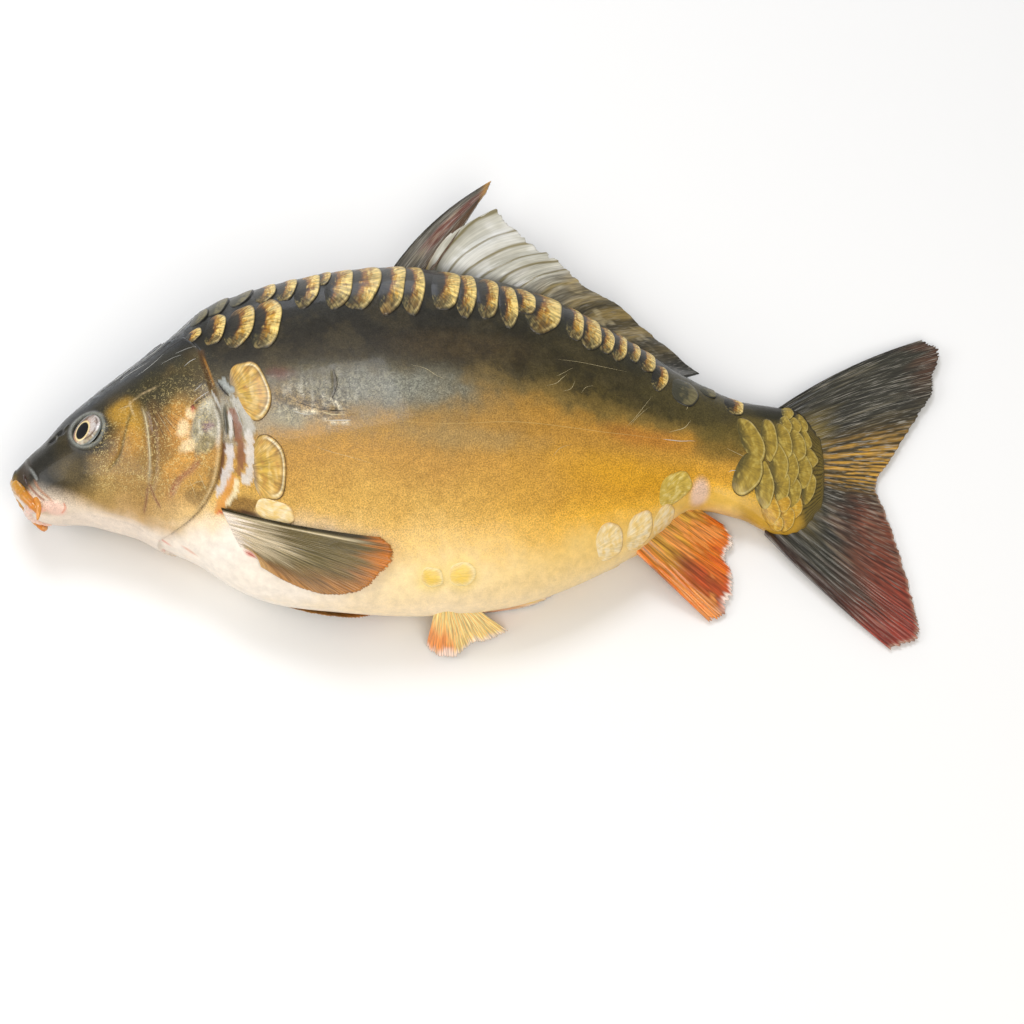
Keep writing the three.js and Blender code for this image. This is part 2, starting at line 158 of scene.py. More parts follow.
# The rings stand closest on the head, which has the finest relief, and the left flank has most sides.
NAPE_X = -76
WRIST_X = 160
LEFT_SIDES = 144
RIGHT_SIDES = 60
CAP = 6  # rings that round off the skin at either end
SNOUT_ROUND = 2.4
ROOT_ROUND = 3.0
rings_x = np.concatenate([
    np.linspace(SNOUT_X, NAPE_X, 186, endpoint=False),
    np.linspace(NAPE_X, WRIST_X, 226, endpoint=False),
    np.linspace(WRIST_X, ROOT_X, 44),
])
ring_angles = np.concatenate([
    np.linspace(0, 180, LEFT_SIDES, endpoint=False),
    np.linspace(180, 360, RIGHT_SIDES, endpoint=False),
])
SIDES = len(ring_angles)
cap_turns = np.radians(np.linspace(90, 0, CAP, endpoint=False))
shrunk = np.cos(cap_turns)
pushed = np.sin(cap_turns)
ring_x = np.concatenate([np.full(CAP, SNOUT_X), rings_x, np.full(CAP, ROOT_X)])
ring_shrink = np.concatenate([shrunk, np.ones(len(rings_x)), shrunk[::-1]])
ring_push = np.concatenate([-SNOUT_ROUND * pushed, np.zeros(len(rings_x)), ROOT_ROUND * pushed[::-1]])
x_of = np.repeat(ring_x, SIDES)
angle_of = np.tile(ring_angles, len(ring_x))
folded = np.where(angle_of > 180, 360 - angle_of, angle_of)
flank = skin(x_of, folded)  # both flanks are painted and pressed as the left one
tint = np.zeros((len(x_of), 3))
relief = np.full(len(x_of), -SKIN_SUNK)
finish = np.zeros((len(x_of), 3))  # how stippled, how wrinkled and how flecked with gold the skin is


def mottle(size, seed, octaves=3, stretch=(1, 1, 1)):
    """Cloudy unevenness from -1 to 1 over the skin, in blots of that size."""
    places = flank * np.array(stretch) / size + seed * 17.3
    return np.array([noise.fractal(Vector(p), 0.7, 2.1, octaves) for p in places])


def blot(x, angle, long, tall, edge=0.35, lean=0, ragged=0):
    """1 inside a soft-edged oval on the skin, 0 outside. lean turns it, in degrees."""
    centre = skin(x, angle)
    along, around, _ = skin_frame(x, angle)
    turn = math.radians(lean)
    away = flank - centre
    a = away @ (along * math.cos(turn) + around * math.sin(turn)) / (long / 2)
    b = away @ (around * math.cos(turn) - along * math.sin(turn)) / (tall / 2)
    return 1 - ease(1 - edge, 1 + edge, np.sqrt(a * a + b * b) + ragged)


def stroke(places, width, fade=True):
    """1 on a smooth line through places, given as (x, angle), falling to 0 at half its width."""
    line = curve(places, 14 * (len(places) - 1) + 1)
    line = skin(line[:, 0], line[:, 1])
    low = line.min(axis=0) - width
    high = line.max(axis=0) + width
    close = np.flatnonzero(np.all((flank > low) & (flank < high), axis=1))
    gaps = np.linalg.norm(flank[close, None, :] - line[None, :, :], axis=2)
    nearest = gaps.argmin(axis=1)
    share = 1 - ease(0, width / 2, gaps.min(axis=1))
    if fade:
        end = nearest / (len(line) - 1)
        share = share * np.clip(6 * np.minimum(end, 1 - end) + 0.15, 0, 1)
    mask = np.zeros(len(flank))
    mask[close] = share
    return mask


def paint(mask, hexcode, share):
    """Lays a colour over the skin, at most by share, where the mask is 1."""
    global tint
    tint = mix(tint, rgb(hexcode), (mask * share)[:, None])


def paint_blots(unevenness, rows):
    """Paints blots from rows of (x, angle, long, tall, edge, lean, how ragged, colour, share)."""
    for x, angle, long, tall, edge, lean, ragged, hexcode, share in rows:
        paint(blot(x, angle, long, tall, edge, lean, ragged * unevenness), hexcode, share)


def press(mask, height):
    """Lifts the skin where the mask is 1, or sinks it where height is negative."""
    global relief
    relief = relief + mask * height


cloud = mottle(34, 1)
patchy = mottle(12, 2)
fleck = mottle(3.2, 3, 4)
fibre = mottle(2.6, 4, 4, (1, 0.35, 0.35))
grain = mottle(1.5, 5, 2)

# Countershading: ink olive on the back, through khaki and gold on the flank, to cream on the belly.
# The wrist of the tail is dark lower down, and everything is more orange behind the middle.
FRONT_SHADES = [
    (0, "#24241f"), (48, "#26251e"), (70, "#2c271c"), (78, "#3f3725"), (86, "#6c5b3a"), (94, "#94763f"),
    (110, "#bd8e42"), (126, "#d0a450"), (140, "#e9c274"), (153, "#f9dda4"), (175, "#f7deb4"),
]
HIND_SHADES = [
    (0, "#24241e"), (46, "#2b2918"), (58, "#3a331b"), (70, "#40381d"), (78, "#50441f"), (86, "#836a31"),
    (94, "#ba8731"), (110, "#ca9636"), (124, "#cd9629"), (134, "#e6ae36"), (150, "#efc770"), (175, "#efd090"),
]
DARK_WRIST = [(-184, 0), (85, 0), (105, 2), (125, 8), (145, 11), (160, 4), (203, -10)]


def shade(stops, value):
    """Colours along a gradient of (value, hex) stops."""
    marks = [mark for mark, _ in stops]
    shades = np.array([rgb(code) for _, code in stops])
    return np.stack([np.interp(value, marks, shades[:, channel]) for channel in range(3)], axis=1)


down = folded - np.interp(x_of, *zip(*DARK_WRIST)) + 4 * cloud + 3 * patchy + 1.5 * fleck
hind = ease(10, 105, x_of + 10 * cloud)[:, None]
tint = mix(shade(FRONT_SHADES, down), shade(HIND_SHADES, down), hind)
finish[:, 0] = mix(0.55, 1.0, ease(70, 95, down)) * (1 - 0.85 * ease(128, 150, down))
paint_blots(patchy, [
    (30, 70, 60, 16, 0.7, 0, 0.3, "#4a3c23", 0.7),
    (75, 99, 90, 10, 0.8, 3, 0.35, "#a57a38", 0.3),
    (118, 99, 36, 9, 0.8, 3, 0.35, "#b4702c", 0.5),
    (30, 102, 60, 10, 0.8, 3, 0.5, "#a08b5e", 0.4),
    (118, 122, 60, 16, 0.8, 5, 0.3, "#d79d1c", 0.7),
])

# The dark back is blotched with brown and black, and finely wrinkled.
dark_back = ease(34, 50, folded) * (1 - ease(76, 92, down)) * ease(-95, -80, x_of)
paint(dark_back * ease(0.0, 0.6, patchy + 0.4 * fleck), "#4d432a", 0.3)
paint(dark_back * ease(0.0, 0.6, -patchy - 0.4 * fleck), "#211d14", 0.35)
finish[:, 1] = 0.35 * dark_back

# The wrist of the tail: olive over khaki gold, and yellow below.
paint_blots(patchy, [
    (157, 93, 26, 22, 0.5, 0, 0.3, "#6a5a28", 0.8),
    (143, 62, 50, 26, 0.6, 0, 0.3, "#4f4624", 0.8),
])
paint(ease(159, 172, x_of + 3 * patchy) * ease(45, 60, folded), "#6a5b2a", 0.85)
tail_end = ease(189, 196, x_of + 2 * patchy)
paint(tail_end, "#71602a", 0.95)
paint(tail_end * ease(0.1, 0.8, np.sin(folded * 1.1 + 3 * patchy)), "#352e16", 0.85)
paint(ease(152, 174, x_of) * (1 - tail_end) * ease(116, 132, folded + 5 * patchy), "#c99a2c", 0.9)
paint(ease(150, 170, x_of) * (1 - ease(24, 46, folded)), "#2d2a22", 0.8)
paint(blot(150, 158, 40, 10, 0.6, 0, 0.2 * patchy), "#e3b441", 0.7)

# Silver sheen over the front of the upper flank, a painted reflection of the light, where the skin is thin,
# wrinkled and half dry.
# The wrinkled patch is streaked lighter and darker with painted light and shade.
painted_sheen = blot(-18, 87, 112, 22, 0.75, 2, 0.35 * patchy + 0.2 * cloud)
paint(painted_sheen, "#6f6a54", 0.8)
painted_bright_sheen = blot(2, 88, 46, 16, 0.8, 0, 0.4 * patchy)
paint(painted_bright_sheen, "#7f7f72", 0.8)
wrinkled = blot(-42, 90, 46, 26, 0.5, 3, 0.3 * patchy)
paint(wrinkled * ease(0.0, 0.7, fibre), "#b3ad9a", 0.5)
paint(wrinkled * ease(0.1, 0.8, -fibre), "#5f553f", 0.5)
paint(blot(-52, 96, 30, 12, 0.6, 3, 0.4 * patchy), "#8f8c76", 0.7)
finish[:, 1] = np.maximum(finish[:, 1], np.maximum(painted_sheen * 0.7, wrinkled))
paint(blot(-56, 80, 12, 6, 0.6, 0, 0.4 * fleck), "#6a3f36", 0.6)
for wrinkle in (
    [(-47, 92), (-40, 91), (-34, 94), (-22, 96)],
    [(-31, 80), (-30, 86), (-32, 92)],
    [(-60, 88), (-52, 92), (-44, 95)],
    [(-38, 96), (-26, 97), (-18, 97)],
):
    paint(stroke(wrinkle, 2.2), "#3a3022", 0.8)
    press(stroke(wrinkle, 3.0), -0.4)
for flake in (
    [(-50, 93), (-44, 95), (-38, 95)],
    [(-36, 97), (-29, 99), (-20, 98)],
    [(-35, 90), (-30, 92), (-26, 95)],
):
    paint(stroke(flake, 1.8), "#d8cdb0", 0.8)

# Head: dark crown and snout, bronze cheek, and a pale throat that starts behind the lips.
HEAD_SHADES = [
    (0, "#1f262b"), (56, "#26282a"), (68, "#33301f"), (80, "#4e4429"), (92, "#735c2d"), (106, "#8d6c33"),
    (124, "#9a7840"), (142, "#ab864c"), (154, "#c39e68"), (170, "#dfc5a6"),
]
head = 1 - ease(-104, -90, x_of + 6 * np.cos(np.radians(folded - 95)) + 3 * patchy)
head_down = folded + 4 * cloud + 4 * patchy + 2 * fleck
tint = mix(tint, shade(HEAD_SHADES, head_down), head[:, None])
finish[:, 0] = mix(finish[:, 0], 0.9 * (1 - 0.8 * ease(140, 160, folded)), head)
paint_blots(patchy, [
    (-129, 89, 16, 22, 0.5, -8, 0.3, "#b98c30", 0.85),
    (-129, 105, 18, 14, 0.6, 0, 0.3, "#c08a3c", 0.6),
    (-115, 84, 13, 26, 0.6, 0, 0.3, "#3c3621", 0.9),
    (-114, 101, 10, 22, 0.6, 0, 0.3, "#775428", 0.8),
    (-136, 64, 26, 8, 0.6, -25, 0.3, "#353124", 0.8),
    (-105, 66, 30, 14, 0.6, 0, 0.3, "#35332a", 0.8),
    (-98, 78, 26, 14, 0.6, 0, 0.3, "#3f3724", 0.85),
    (-140, 94, 17, 9, 0.6, -25, 0.2, "#37311e", 0.85),
    (-139, 106, 20, 14, 0.6, -20, 0.3, "#86642e", 0.7),
    (-148, 131, 34, 24, 0.6, 25, 0.25, "#a3854b", 0.8),
    (-161, 103, 36, 28, 0.4, -28, 0.12, "#302b1b", 0.95),
    (-173, 76, 22, 40, 0.4, 0, 0.12, "#25231b", 0.95),
    (-145, 101, 20, 8, 0.6, -10, 0.2, "#312c1e", 0.9),
    (-156, 116, 16, 12, 0.6, -30, 0.3, "#5f5133", 0.7),
])
throat = stroke([(-172, 138), (-160, 152), (-147, 166), (-132, 174), (-112, 178)], 22, False)
paint(throat, "#ead9c4", 0.9)
paint(head * ease(158, 168, folded), "#e9d8c6", 0.9)
paint_blots(patchy, [
    (-90, 158, 44, 22, 0.6, 0, 0.3, "#f3e2cc", 0.85),
    (-99, 142, 26, 16, 0.6, 12, 0.3, "#e8c68c", 0.6),
])
pale_belly = blot(-66, 159, 92, 44, 0.5, 0, 0.15 * patchy)
paint(pale_belly, "#f8eee2", 0.85)
finish[:, 0] = finish[:, 0] * (1 - 0.9 * pale_belly)

# Gill cover: thin bone in skin, free along its hind edge, with striae that fan out from its hinge.
GILL_EDGE = [  # x, y
    (-103.5, 41), (-95.6, 32), (-93.3, 23.6), (-90.7, 15.4), (-88.5, 8.8), (-85.9, 2), (-83.6, -5.6),
    (-82.7, -15), (-83.6, -26.8), (-85.6, -35.6), (-89.8, -43), (-98, -50), (-108, -54),
]
GILL_LIFT = 1.7
edge_line = curve(GILL_EDGE, 120)[::-1]
behind = flank[:, 0] - np.interp(flank[:, 1], edge_line[:, 1], edge_line[:, 0], left=-120, right=-118)
cover = 1 - ease(-1.0, 0.6, behind)
press(cover * ease(-150, -112, x_of), GILL_LIFT)


def streak(places, width, ragged):
    """A flat band with ragged edges on a smooth line through places."""
    soft = stroke(places, 2 * width)
    return ease(0.35, 0.65, soft + ragged * fleck * np.minimum(1, 3 * soft))


on_cover = cover * ease(-116, -106, x_of) * ease(60, 76, folded) * (1 - ease(130, 150, folded))
paint(on_cover * ease(84, 100, folded + 6 * patchy), "#b08040", 0.6)
paint(on_cover * ease(-0.1, -0.6, patchy + cloud), "#6f5730", 0.6)
paint(on_cover * (1 - ease(72, 90, folded + 6 * patchy)), "#413c26", 0.75)
paint_blots(fleck, [
    (-103, 95, 14, 10, 0.5, 0, 0.3, "#a9802f", 0.5),
    (-104, 119, 14, 8, 0.5, -35, 0.3, "#dca04a", 0.6),
    (-100, 104, 15, 22, 0.5, -20, 0.3, "#c98a3c", 0.7),
])
plate_patch = blot(-90, 101, 14.5, 28, 0.16, 0, 0.12 * fleck)
paint(plate_patch, "#a39b83", 0.95)
paint(plate_patch * ease(0.05, 0.45, fleck), "#cac4ae", 0.7)
paint(plate_patch * ease(0.1, 0.5, -fleck), "#67624a", 0.6)
paint(plate_patch * blot(-91, 110, 14, 10, 0.5), "#8a7640", 0.5)
paint(plate_patch * blot(-89.5, 102, 5, 4, 0.5, 0, 0.5 * fleck), "#8a6076", 0.5)
paint(stroke([(-87, 91), (-84.8, 96), (-84.2, 103), (-84.8, 110)], 4) * cover, "#dcd6c6", 0.75)
paint_blots(fleck, [
    (-101.7, 103, 6, 9, 0.35, 20, 0.35, "#f2d6a6", 0.85),
    (-99.2, 110.6, 9, 5.5, 0.35, -25, 0.35, "#f2d6a6", 0.85),
    (-98.3, 96.5, 4.5, 6, 0.35, 0, 0.35, "#f2d6a6", 0.85),
])
paint(stroke([(-98.5, 94.5), (-95.5, 92.6), (-92.5, 90.7), (-89.4, 89)], 2.2), "#2c271c", 0.9)
paint(blot(-97, 95, 2.4, 3, 0.4), "#a8352a", 0.8)
groove = [(-92.7, 115.5), (-97.2, 120.8), (-103.3, 126.2), (-108.1, 136)]
paint(stroke(groove, 5.5), "#95604a", 0.75)
press(stroke(groove, 5), -0.4)
rim_of_cover = np.exp(-((behind + 1.3) / 0.9) ** 2) * ease(104, 114, folded) * (1 - ease(140, 156, folded))
paint(rim_of_cover, "#dcc18c", 0.6)
shadow_of_cover = np.exp(-((behind - 0.5) / 0.6) ** 2) * ease(84, 94, folded)
paint(shadow_of_cover, "#4a3322", 0.8)

# Behind the cover: the brown gill membrane, and grey slime that the gills left in ragged bands.
membrane = [(-94.5, 67), (-93.2, 73), (-91, 79), (-88.4, 86), (-86, 90.5), (-84.5, 94)]
paint(stroke(membrane, 5, False), "#5d4122", 0.9)
press(stroke(membrane[0:5:2], 5, False), 0.4)
paint(stroke([(-93.3, 70), (-91, 75.8), (-88.9, 81), (-87.2, 85)], 1.6), "#b27a2c", 0.85)
paint(blot(-77, 97, 17, 26, 0.4, 0, 0.4 * fleck) * (1 - cover), "#9b9480", 0.8)
paint_blots(fleck, [
    (-68, 99, 18, 10, 0.5, 0, 0.5, "#938a70", 0.6),
    (-73, 129, 17, 9, 0.4, 0, 0.25, "#86622b", 0.9),
])
for width, ragged, lift, hexcode, places in (
    (5, 0.6, 0.25, "#b9b4a6", [(-78.5, 88), (-74.5, 93), (-71, 98), (-69.5, 103)]),
    (4.2, 0.9, 0.25, "#a0a49f", [(-84.6, 81.5), (-81.4, 84.8), (-78.3, 87.8)]),
    (1.6, 0.2, -0.3, "#2b281e", [(-86.2, 82.5), (-83.3, 85.9), (-80, 88.8)]),
    (1.3, 0.4, 0.25, "#d3cfc2", [(-88.4, 87), (-85.9, 91), (-83.6, 94.5)]),
    (2.2, 0.4, -0.3, "#3a3825", [(-82.6, 91), (-81.2, 97.5), (-80.9, 104)]),
    (4.0, 0.45, 0.25, "#85543a", [(-80.8, 92.5), (-76.8, 97.5), (-74.9, 104), (-73.6, 111.5), (-75, 119)]),
    (1.6, 0.5, 0.25, "#d9d6ce", [(-80.2, 94.5), (-78.7, 100.2), (-78.6, 106)]),
    (1.8, 0.1, -0.3, "#6d4628", [(-81.6, 105), (-82.2, 113), (-83.9, 123)]),
    (4.0, 0.7, 0.25, "#d6d0cc", [(-79, 104), (-79.2, 111), (-80.4, 118), (-82.2, 124), (-86.5, 129)]),
    (4.2, 0.7, 0.25, "#d9d3ca", [(-71, 101), (-69.3, 108), (-69.5, 115), (-72.8, 122.5)]),
    (4.5, 0.5, 0.25, "#d89444", [(-77.4, 118), (-79.5, 124.5), (-83, 131.5), (-86, 138)]),
    (2.6, 0.6, 0.25, "#efdfb4", [(-75, 118.5), (-76.8, 125.5), (-81, 131.5)]),
    (3.6, 0.1, -0.3, "#3f1d0e", [(-83.5, 134.8), (-76, 133), (-66.5, 132.6), (-56, 135)]),
):
    band = streak(places, width, ragged)
    paint(band, hexcode, 0.85)
    finish[:, 0] = finish[:, 0] * (1 - 0.7 * band)
    press(band, lift)
paint(blot(-83.2, 135, 3.2, 1.8, 0.4, -10), "#c4442a", 0.8)

# Cheek: the ridge of the preopercle and the creases under the eye.
cheek_ridge = [(-122, 85), (-120, 92), (-118.5, 100), (-117.6, 108), (-117, 116), (-117.2, 124), (-118, 131)]
paint(stroke(cheek_ridge, 2.2), "#a59a7c", 0.8)
press(stroke(cheek_ridge, 2.2), 0.5)
step_behind = stroke([(-118.5, 85), (-115.5, 100), (-114.5, 112), (-114.8, 124), (-116, 134)], 4.5)
paint(step_behind, "#5b4526", 0.35)
press(step_behind, -0.45)
for crease in ([(-118, 131), (-119, 141), (-120.5, 152)], [(-117.5, 129), (-115, 137), (-112, 143)]):
    paint(stroke(crease, 3), "#8a6a50", 0.7)
    press(stroke(crease, 3.5), -0.4)
suborbital = [(-126, 82), (-128.5, 93), (-130, 102), (-132, 113), (-138, 123)]
paint(stroke(suborbital, 2.6), "#45411f", 0.7)
press(stroke(suborbital, 3.5), -0.3)
for crease in ([(-132, 82), (-124, 77), (-114, 76)], [(-128, 76), (-127, 83), (-125, 90)]):
    paint(stroke(crease, 1.5), "#cdb384", 0.7)
for crease in ([(-150, 166), (-132, 166), (-118, 170)], [(-146, 158), (-132, 160), (-120, 164)]):
    paint(stroke(crease, 1.6), "#c9b7a4", 0.6)
    press(stroke(crease, 2), -0.2)

# Gold flecks on the cheek and gill cover, painted wet glints on the crown and a painted blue-grey gleam, a
# reflection, on its ridge.
speckled = ease(-152, -138, x_of) * (1 - ease(-92, -82, x_of)) * ease(60, 74, folded + 4 * patchy)
speckled = speckled * (1 - ease(126, 146, folded)) * (0.9 + 0.5 * cloud)
finish[:, 2] = speckled * mix(0.3, 0.9, ease(70, 90, down))
crown = ease(-158, -148, x_of) * (1 - ease(-96, -84, x_of)) * (1 - ease(40, 58, folded + 6 * patchy))
paint(crown * ease(0.2, 0.7, fleck + 0.5 * grain), "#8f9aa2", 0.3)
paint(crown * ease(0.0, 0.5, -fleck), "#1b1e20", 0.6)
press(crown * fleck, 0.25)
finish[:, 1] = np.maximum(finish[:, 1], crown)
gleam = (1 - ease(-98, -80, x_of)) * (1 - ease(10, 34, folded + 5 * patchy))
paint(gleam * ease(-0.5, 0.6, 0.6 * fleck + patchy), "#616d75", 0.6)

# Snout: a pale-rimmed fold over the upper jaw, loose folds behind the lips and a pink pad at the corner.
fold = [(-179, 44), (-178.5, 62), (-177, 80), (-174.5, 94), (-172.5, 106)]
paint(stroke(fold, 2.4, False), "#8d8f8a", 0.9)
press(stroke(fold, 3.2, False), 0.55)
paint(blot(-180, 96, 9, 18, 0.4), "#3b2f22", 0.9)
press(blot(-180, 96, 7, 16, 0.6), -0.5)
for hexcode, lift, place in (
    ("#b07a58", 0.5, [(-174, 106), (-171, 122), (-166, 138), (-163, 150)]),
    ("#8a4a2c", -0.5, [(-177, 112), (-173, 128), (-168, 142)]),
    ("#d3875a", 0.45, [(-178, 122), (-174, 138), (-170, 150)]),
):
    paint(stroke(place, 2.2), hexcode, 0.85)
    press(stroke(place, 2.6), lift)
paint(blot(-164, 153, 10, 8, 0.4), "#efc9b6", 0.95)
press(blot(-164, 153, 10, 8, 0.6), 0.5)
paint(stroke([(-159.5, 146), (-158.8, 154), (-161, 162)], 1.6), "#d77a5c", 0.8)
for x, angle in ((-162, 63), (-165.5, 63)):
    paint(blot(x, angle, 5.4, 3.6, 0.3, -20), "#15130f", 0.95)
    press(blot(x, angle, 4.6, 3.0, 0.5, -20), -1.1)
press(stroke([(-167.5, 60), (-163, 68), (-158.5, 60)], 2.2, False), 0.4)
paint(stroke([(-164.2, 57), (-163.6, 63), (-163.8, 68)], 1.6), "#77756c", 0.9)

# A few red bruises, yellow scales that show through the belly, and the pink vent.
paint_blots(patchy, [
    (-111, 172, 6, 1.6, 0.6, 20, 0, "#de9a88", 0.8),
    (-99, 170, 8, 1.6, 0.6, 20, 0, "#e8b49a", 0.8),
    (-69, 149.5, 6, 1.6, 0.6, 20, 0, "#d2503c", 0.8),
])
for x, angle, long in ((16, 153, 13), (30, 152, 15), (-40, 148, 7)):
    paint(blot(x, angle, long, long, 0.6), "#f0d27c", 0.8)
paint(blot(144, 152, 9, 14, 0.4), "#e3c2ae", 0.85)
press(blot(144, 152, 9, 14, 0.6), 0.5)

# Lid: a soft ring of grey skin round each eye, in a painted dark shadow all round it.
EYE_X = -148.4
EYE_ANGLE = 83
EYE_RADIUS = 7.9
from_rim = np.linalg.norm(flank - skin(EYE_X, EYE_ANGLE), axis=1) - EYE_RADIUS
paint(1 - ease(1, 5.5, from_rim + fleck), "#2b2821", 0.85)
paint(np.exp(-((from_rim - 0.9) / 0.9) ** 2), "#85877f", 0.9)
press(np.exp(-((from_rim - 0.9) / 1.3) ** 2), 1.1)
press(1 - ease(-1, 0, from_rim), -1.6)

rings = skin(x_of, angle_of, relief).reshape(len(ring_x), SIDES, 3)
middles = rings.mean(axis=1, keepdims=True)
rings = middles + (rings - middles) * ring_shrink[:, None, None]
rings[:, :, 0] += ring_push[:, None]
corner = np.arange(SIDES)
following = (corner + 1) % SIDES
starts = SIDES * np.arange(len(ring_x) - 1)[:, None]
body_faces = np.stack([
    starts + corner,
    starts + following,
    starts + SIDES + following,
    starts + SIDES + corner,
], axis=-1).reshape(-1, 4)
front_cap = range(SIDES)
hind_cap = range(SIDES * len(ring_x) - 1, SIDES * (len(ring_x) - 1) - 1, -1)


def piece(name, places, faces, material, fields, caps=()):
    """A smooth mesh from places in mm, with named point attributes, that rides the fish."""
    mesh = bpy.data.meshes.new(name)
    corners = [[int(corner) for corner in face] for face in (*faces, *caps)]
    mesh.from_pydata((np.asarray(places) * MM).tolist(), [], corners)
    for field, values in fields.items():
        if field == "tint":
            layer = mesh.attributes.new(field, "FLOAT_COLOR", "POINT")
            opaque = np.hstack([values, np.ones((len(values), 1))])
            layer.data.foreach_set("color", np.ravel(opaque).astype(np.float32))
        else:
            layer = mesh.attributes.new(field, "FLOAT_VECTOR", "POINT")
            layer.data.foreach_set("vector", np.ravel(values).astype(np.float32))
    mesh.shade_smooth()
    mesh.materials.append(material)
    obj = bpy.data.objects.new(name, mesh)
    bpy.context.collection.objects.link(obj)
    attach(obj, "root")
    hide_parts("fish")


def node(material, kind, settings=(), **links):
    """Adds a node with its settings, by name or number, and links its inputs, by name or as in0, in1.

    A link comes from a socket, or from the first output of a node. The numbers of a MapRange are
    1 and 2 for the range that comes in, and 3 and 4 for the range that goes out."""
    made = material.node_tree.nodes.new(kind)
    for key, value in dict(settings).items():
        if isinstance(key, int) or key in made.inputs.keys():
            made.inputs[key].default_value = value
        else:
            setattr(made, key, value)
    for key, source in links.items():
        numbered = key.startswith("in") and key[2:].isdigit()
        socket = made.inputs[int(key[2:]) if numbered else key.replace("_", " ")]
        output = source.outputs[0] if isinstance(source, bpy.types.Node) else source
        material.node_tree.links.new(output, socket)
    return made


def empty_material(name):
    material = bpy.data.materials.new(name)
    material.use_nodes = True
    material.node_tree.nodes.clear()
    return material


# Wet carp skin: thin skin over gold and black pigment cells, under a coat of clear slime.
# The cells give a fine grain and curls of gold, and the slime a sharp wet highlight. A cell is about
# 0.1 mm wide, too fine to show, so its grain is drawn at 0.65 mm.
STIPPLE = 0.65 * MM
CELL_PATCH = 4.5 * MM
WRINKLE = 1.5 * MM
GOLD_FLECK = 1.3 * MM
wet_skin = empty_material("wet_carp_skin")
place = node(wet_skin, "ShaderNodeTexCoord").outputs["Object"]
painted = node(wet_skin, "ShaderNodeAttribute", {"attribute_name": "tint"})
finishes = node(wet_skin, "ShaderNodeAttribute", {"attribute_name": "finish"}).outputs["Vector"]
shares = node(wet_skin, "ShaderNodeSeparateXYZ", Vector=finishes)
dots = node(
    wet_skin, "ShaderNodeTexNoise", {"Scale": 1 / STIPPLE, "Detail": 2.0, "Roughness": 0.6}, Vector=place
)
cells = node(
    wet_skin, "ShaderNodeTexNoise", {"Scale": 1 / CELL_PATCH, "Detail": 4.0, "Roughness": 0.6}, Vector=place
)
folds = node(
    wet_skin, "ShaderNodeTexNoise", {"Scale": 1 / WRINKLE, "Detail": 5.0, "Distortion": 1.2}, Vector=place
)
curls = node(
    wet_skin, "ShaderNodeTexNoise", {"Scale": 1 / GOLD_FLECK, "Detail": 2.5, "Distortion": 1.6}, Vector=place
)
dot_light = node(wet_skin, "ShaderNodeMapRange", {1: 0.34, 2: 0.66, 3: -0.32, 4: 0.32}, Value=dots)
fold_light = node(wet_skin, "ShaderNodeMapRange", {1: 0.38, 2: 0.62, 3: -0.5, 4: 0.55}, Value=folds)
cell_light = node(wet_skin, "ShaderNodeMapRange", {1: 0.3, 2: 0.7, 3: 0.9, 4: 1.1}, Value=cells)
curl_share = node(wet_skin, "ShaderNodeMapRange", {1: 0.55, 2: 0.66, 3: 0.0, 4: 0.62}, Value=curls)
MULTIPLY = {"operation": "MULTIPLY"}
ONE_PLUS = {"operation": "MULTIPLY_ADD", 2: 1.0}  # a light of one, plus a pattern times its share
stipple = node(wet_skin, "ShaderNodeMath", ONE_PLUS, in0=dot_light, in1=shares.outputs["X"])
# Painted light and shade on the wrinkles: the folds lighten and darken the colour where finish Y marks
# wrinkled skin.
crease_light_and_shade = node(wet_skin, "ShaderNodeMath", ONE_PLUS, in0=fold_light, in1=shares.outputs["Y"])
light = node(wet_skin, "ShaderNodeMath", MULTIPLY, in0=stipple, in1=cell_light)
light = node(wet_skin, "ShaderNodeMath", MULTIPLY, in0=light, in1=crease_light_and_shade)
pigment = node(wet_skin, "ShaderNodeVectorMath", {"operation": "SCALE"}, in0=painted, in3=light)
golden = node(wet_skin, "ShaderNodeMath", MULTIPLY, in0=curl_share, in1=shares.outputs["Z"])
gold = {"data_type": "RGBA", 7: (*rgb("#e8d08c"), 1)}
colour = node(wet_skin, "ShaderNodeMix", gold, in0=golden, in6=pigment)
gloss = node(wet_skin, "ShaderNodeMapRange", {1: 0.35, 2: 0.65, 3: 0.3, 4: 0.5}, Value=cells)
height = node(
    wet_skin, "ShaderNodeMath", {"operation": "MULTIPLY_ADD"}, in0=folds, in1=shares.outputs["Y"], in2=dots
)
bump = node(wet_skin, "ShaderNodeBump", {"Strength": 0.5, "Distance": 0.2 * MM}, Height=height)
surface = node(
    wet_skin,
    "ShaderNodeBsdfPrincipled",
    {"IOR": 1.4, "Specular IOR Level": 0.35, "Coat Weight": 0.35, "Coat Roughness": 0.08, "Coat IOR": 1.33},
    Base_Color=colour.outputs[2],
    Roughness=gloss,
    Normal=bump,
)
node(wet_skin, "ShaderNodeOutputMaterial", Surface=surface)
skin_fields = {"tint": tint, "finish": finish}
piece("skin", rings.reshape(-1, 3), body_faces, wet_skin, skin_fields, [front_cap, hind_cap])
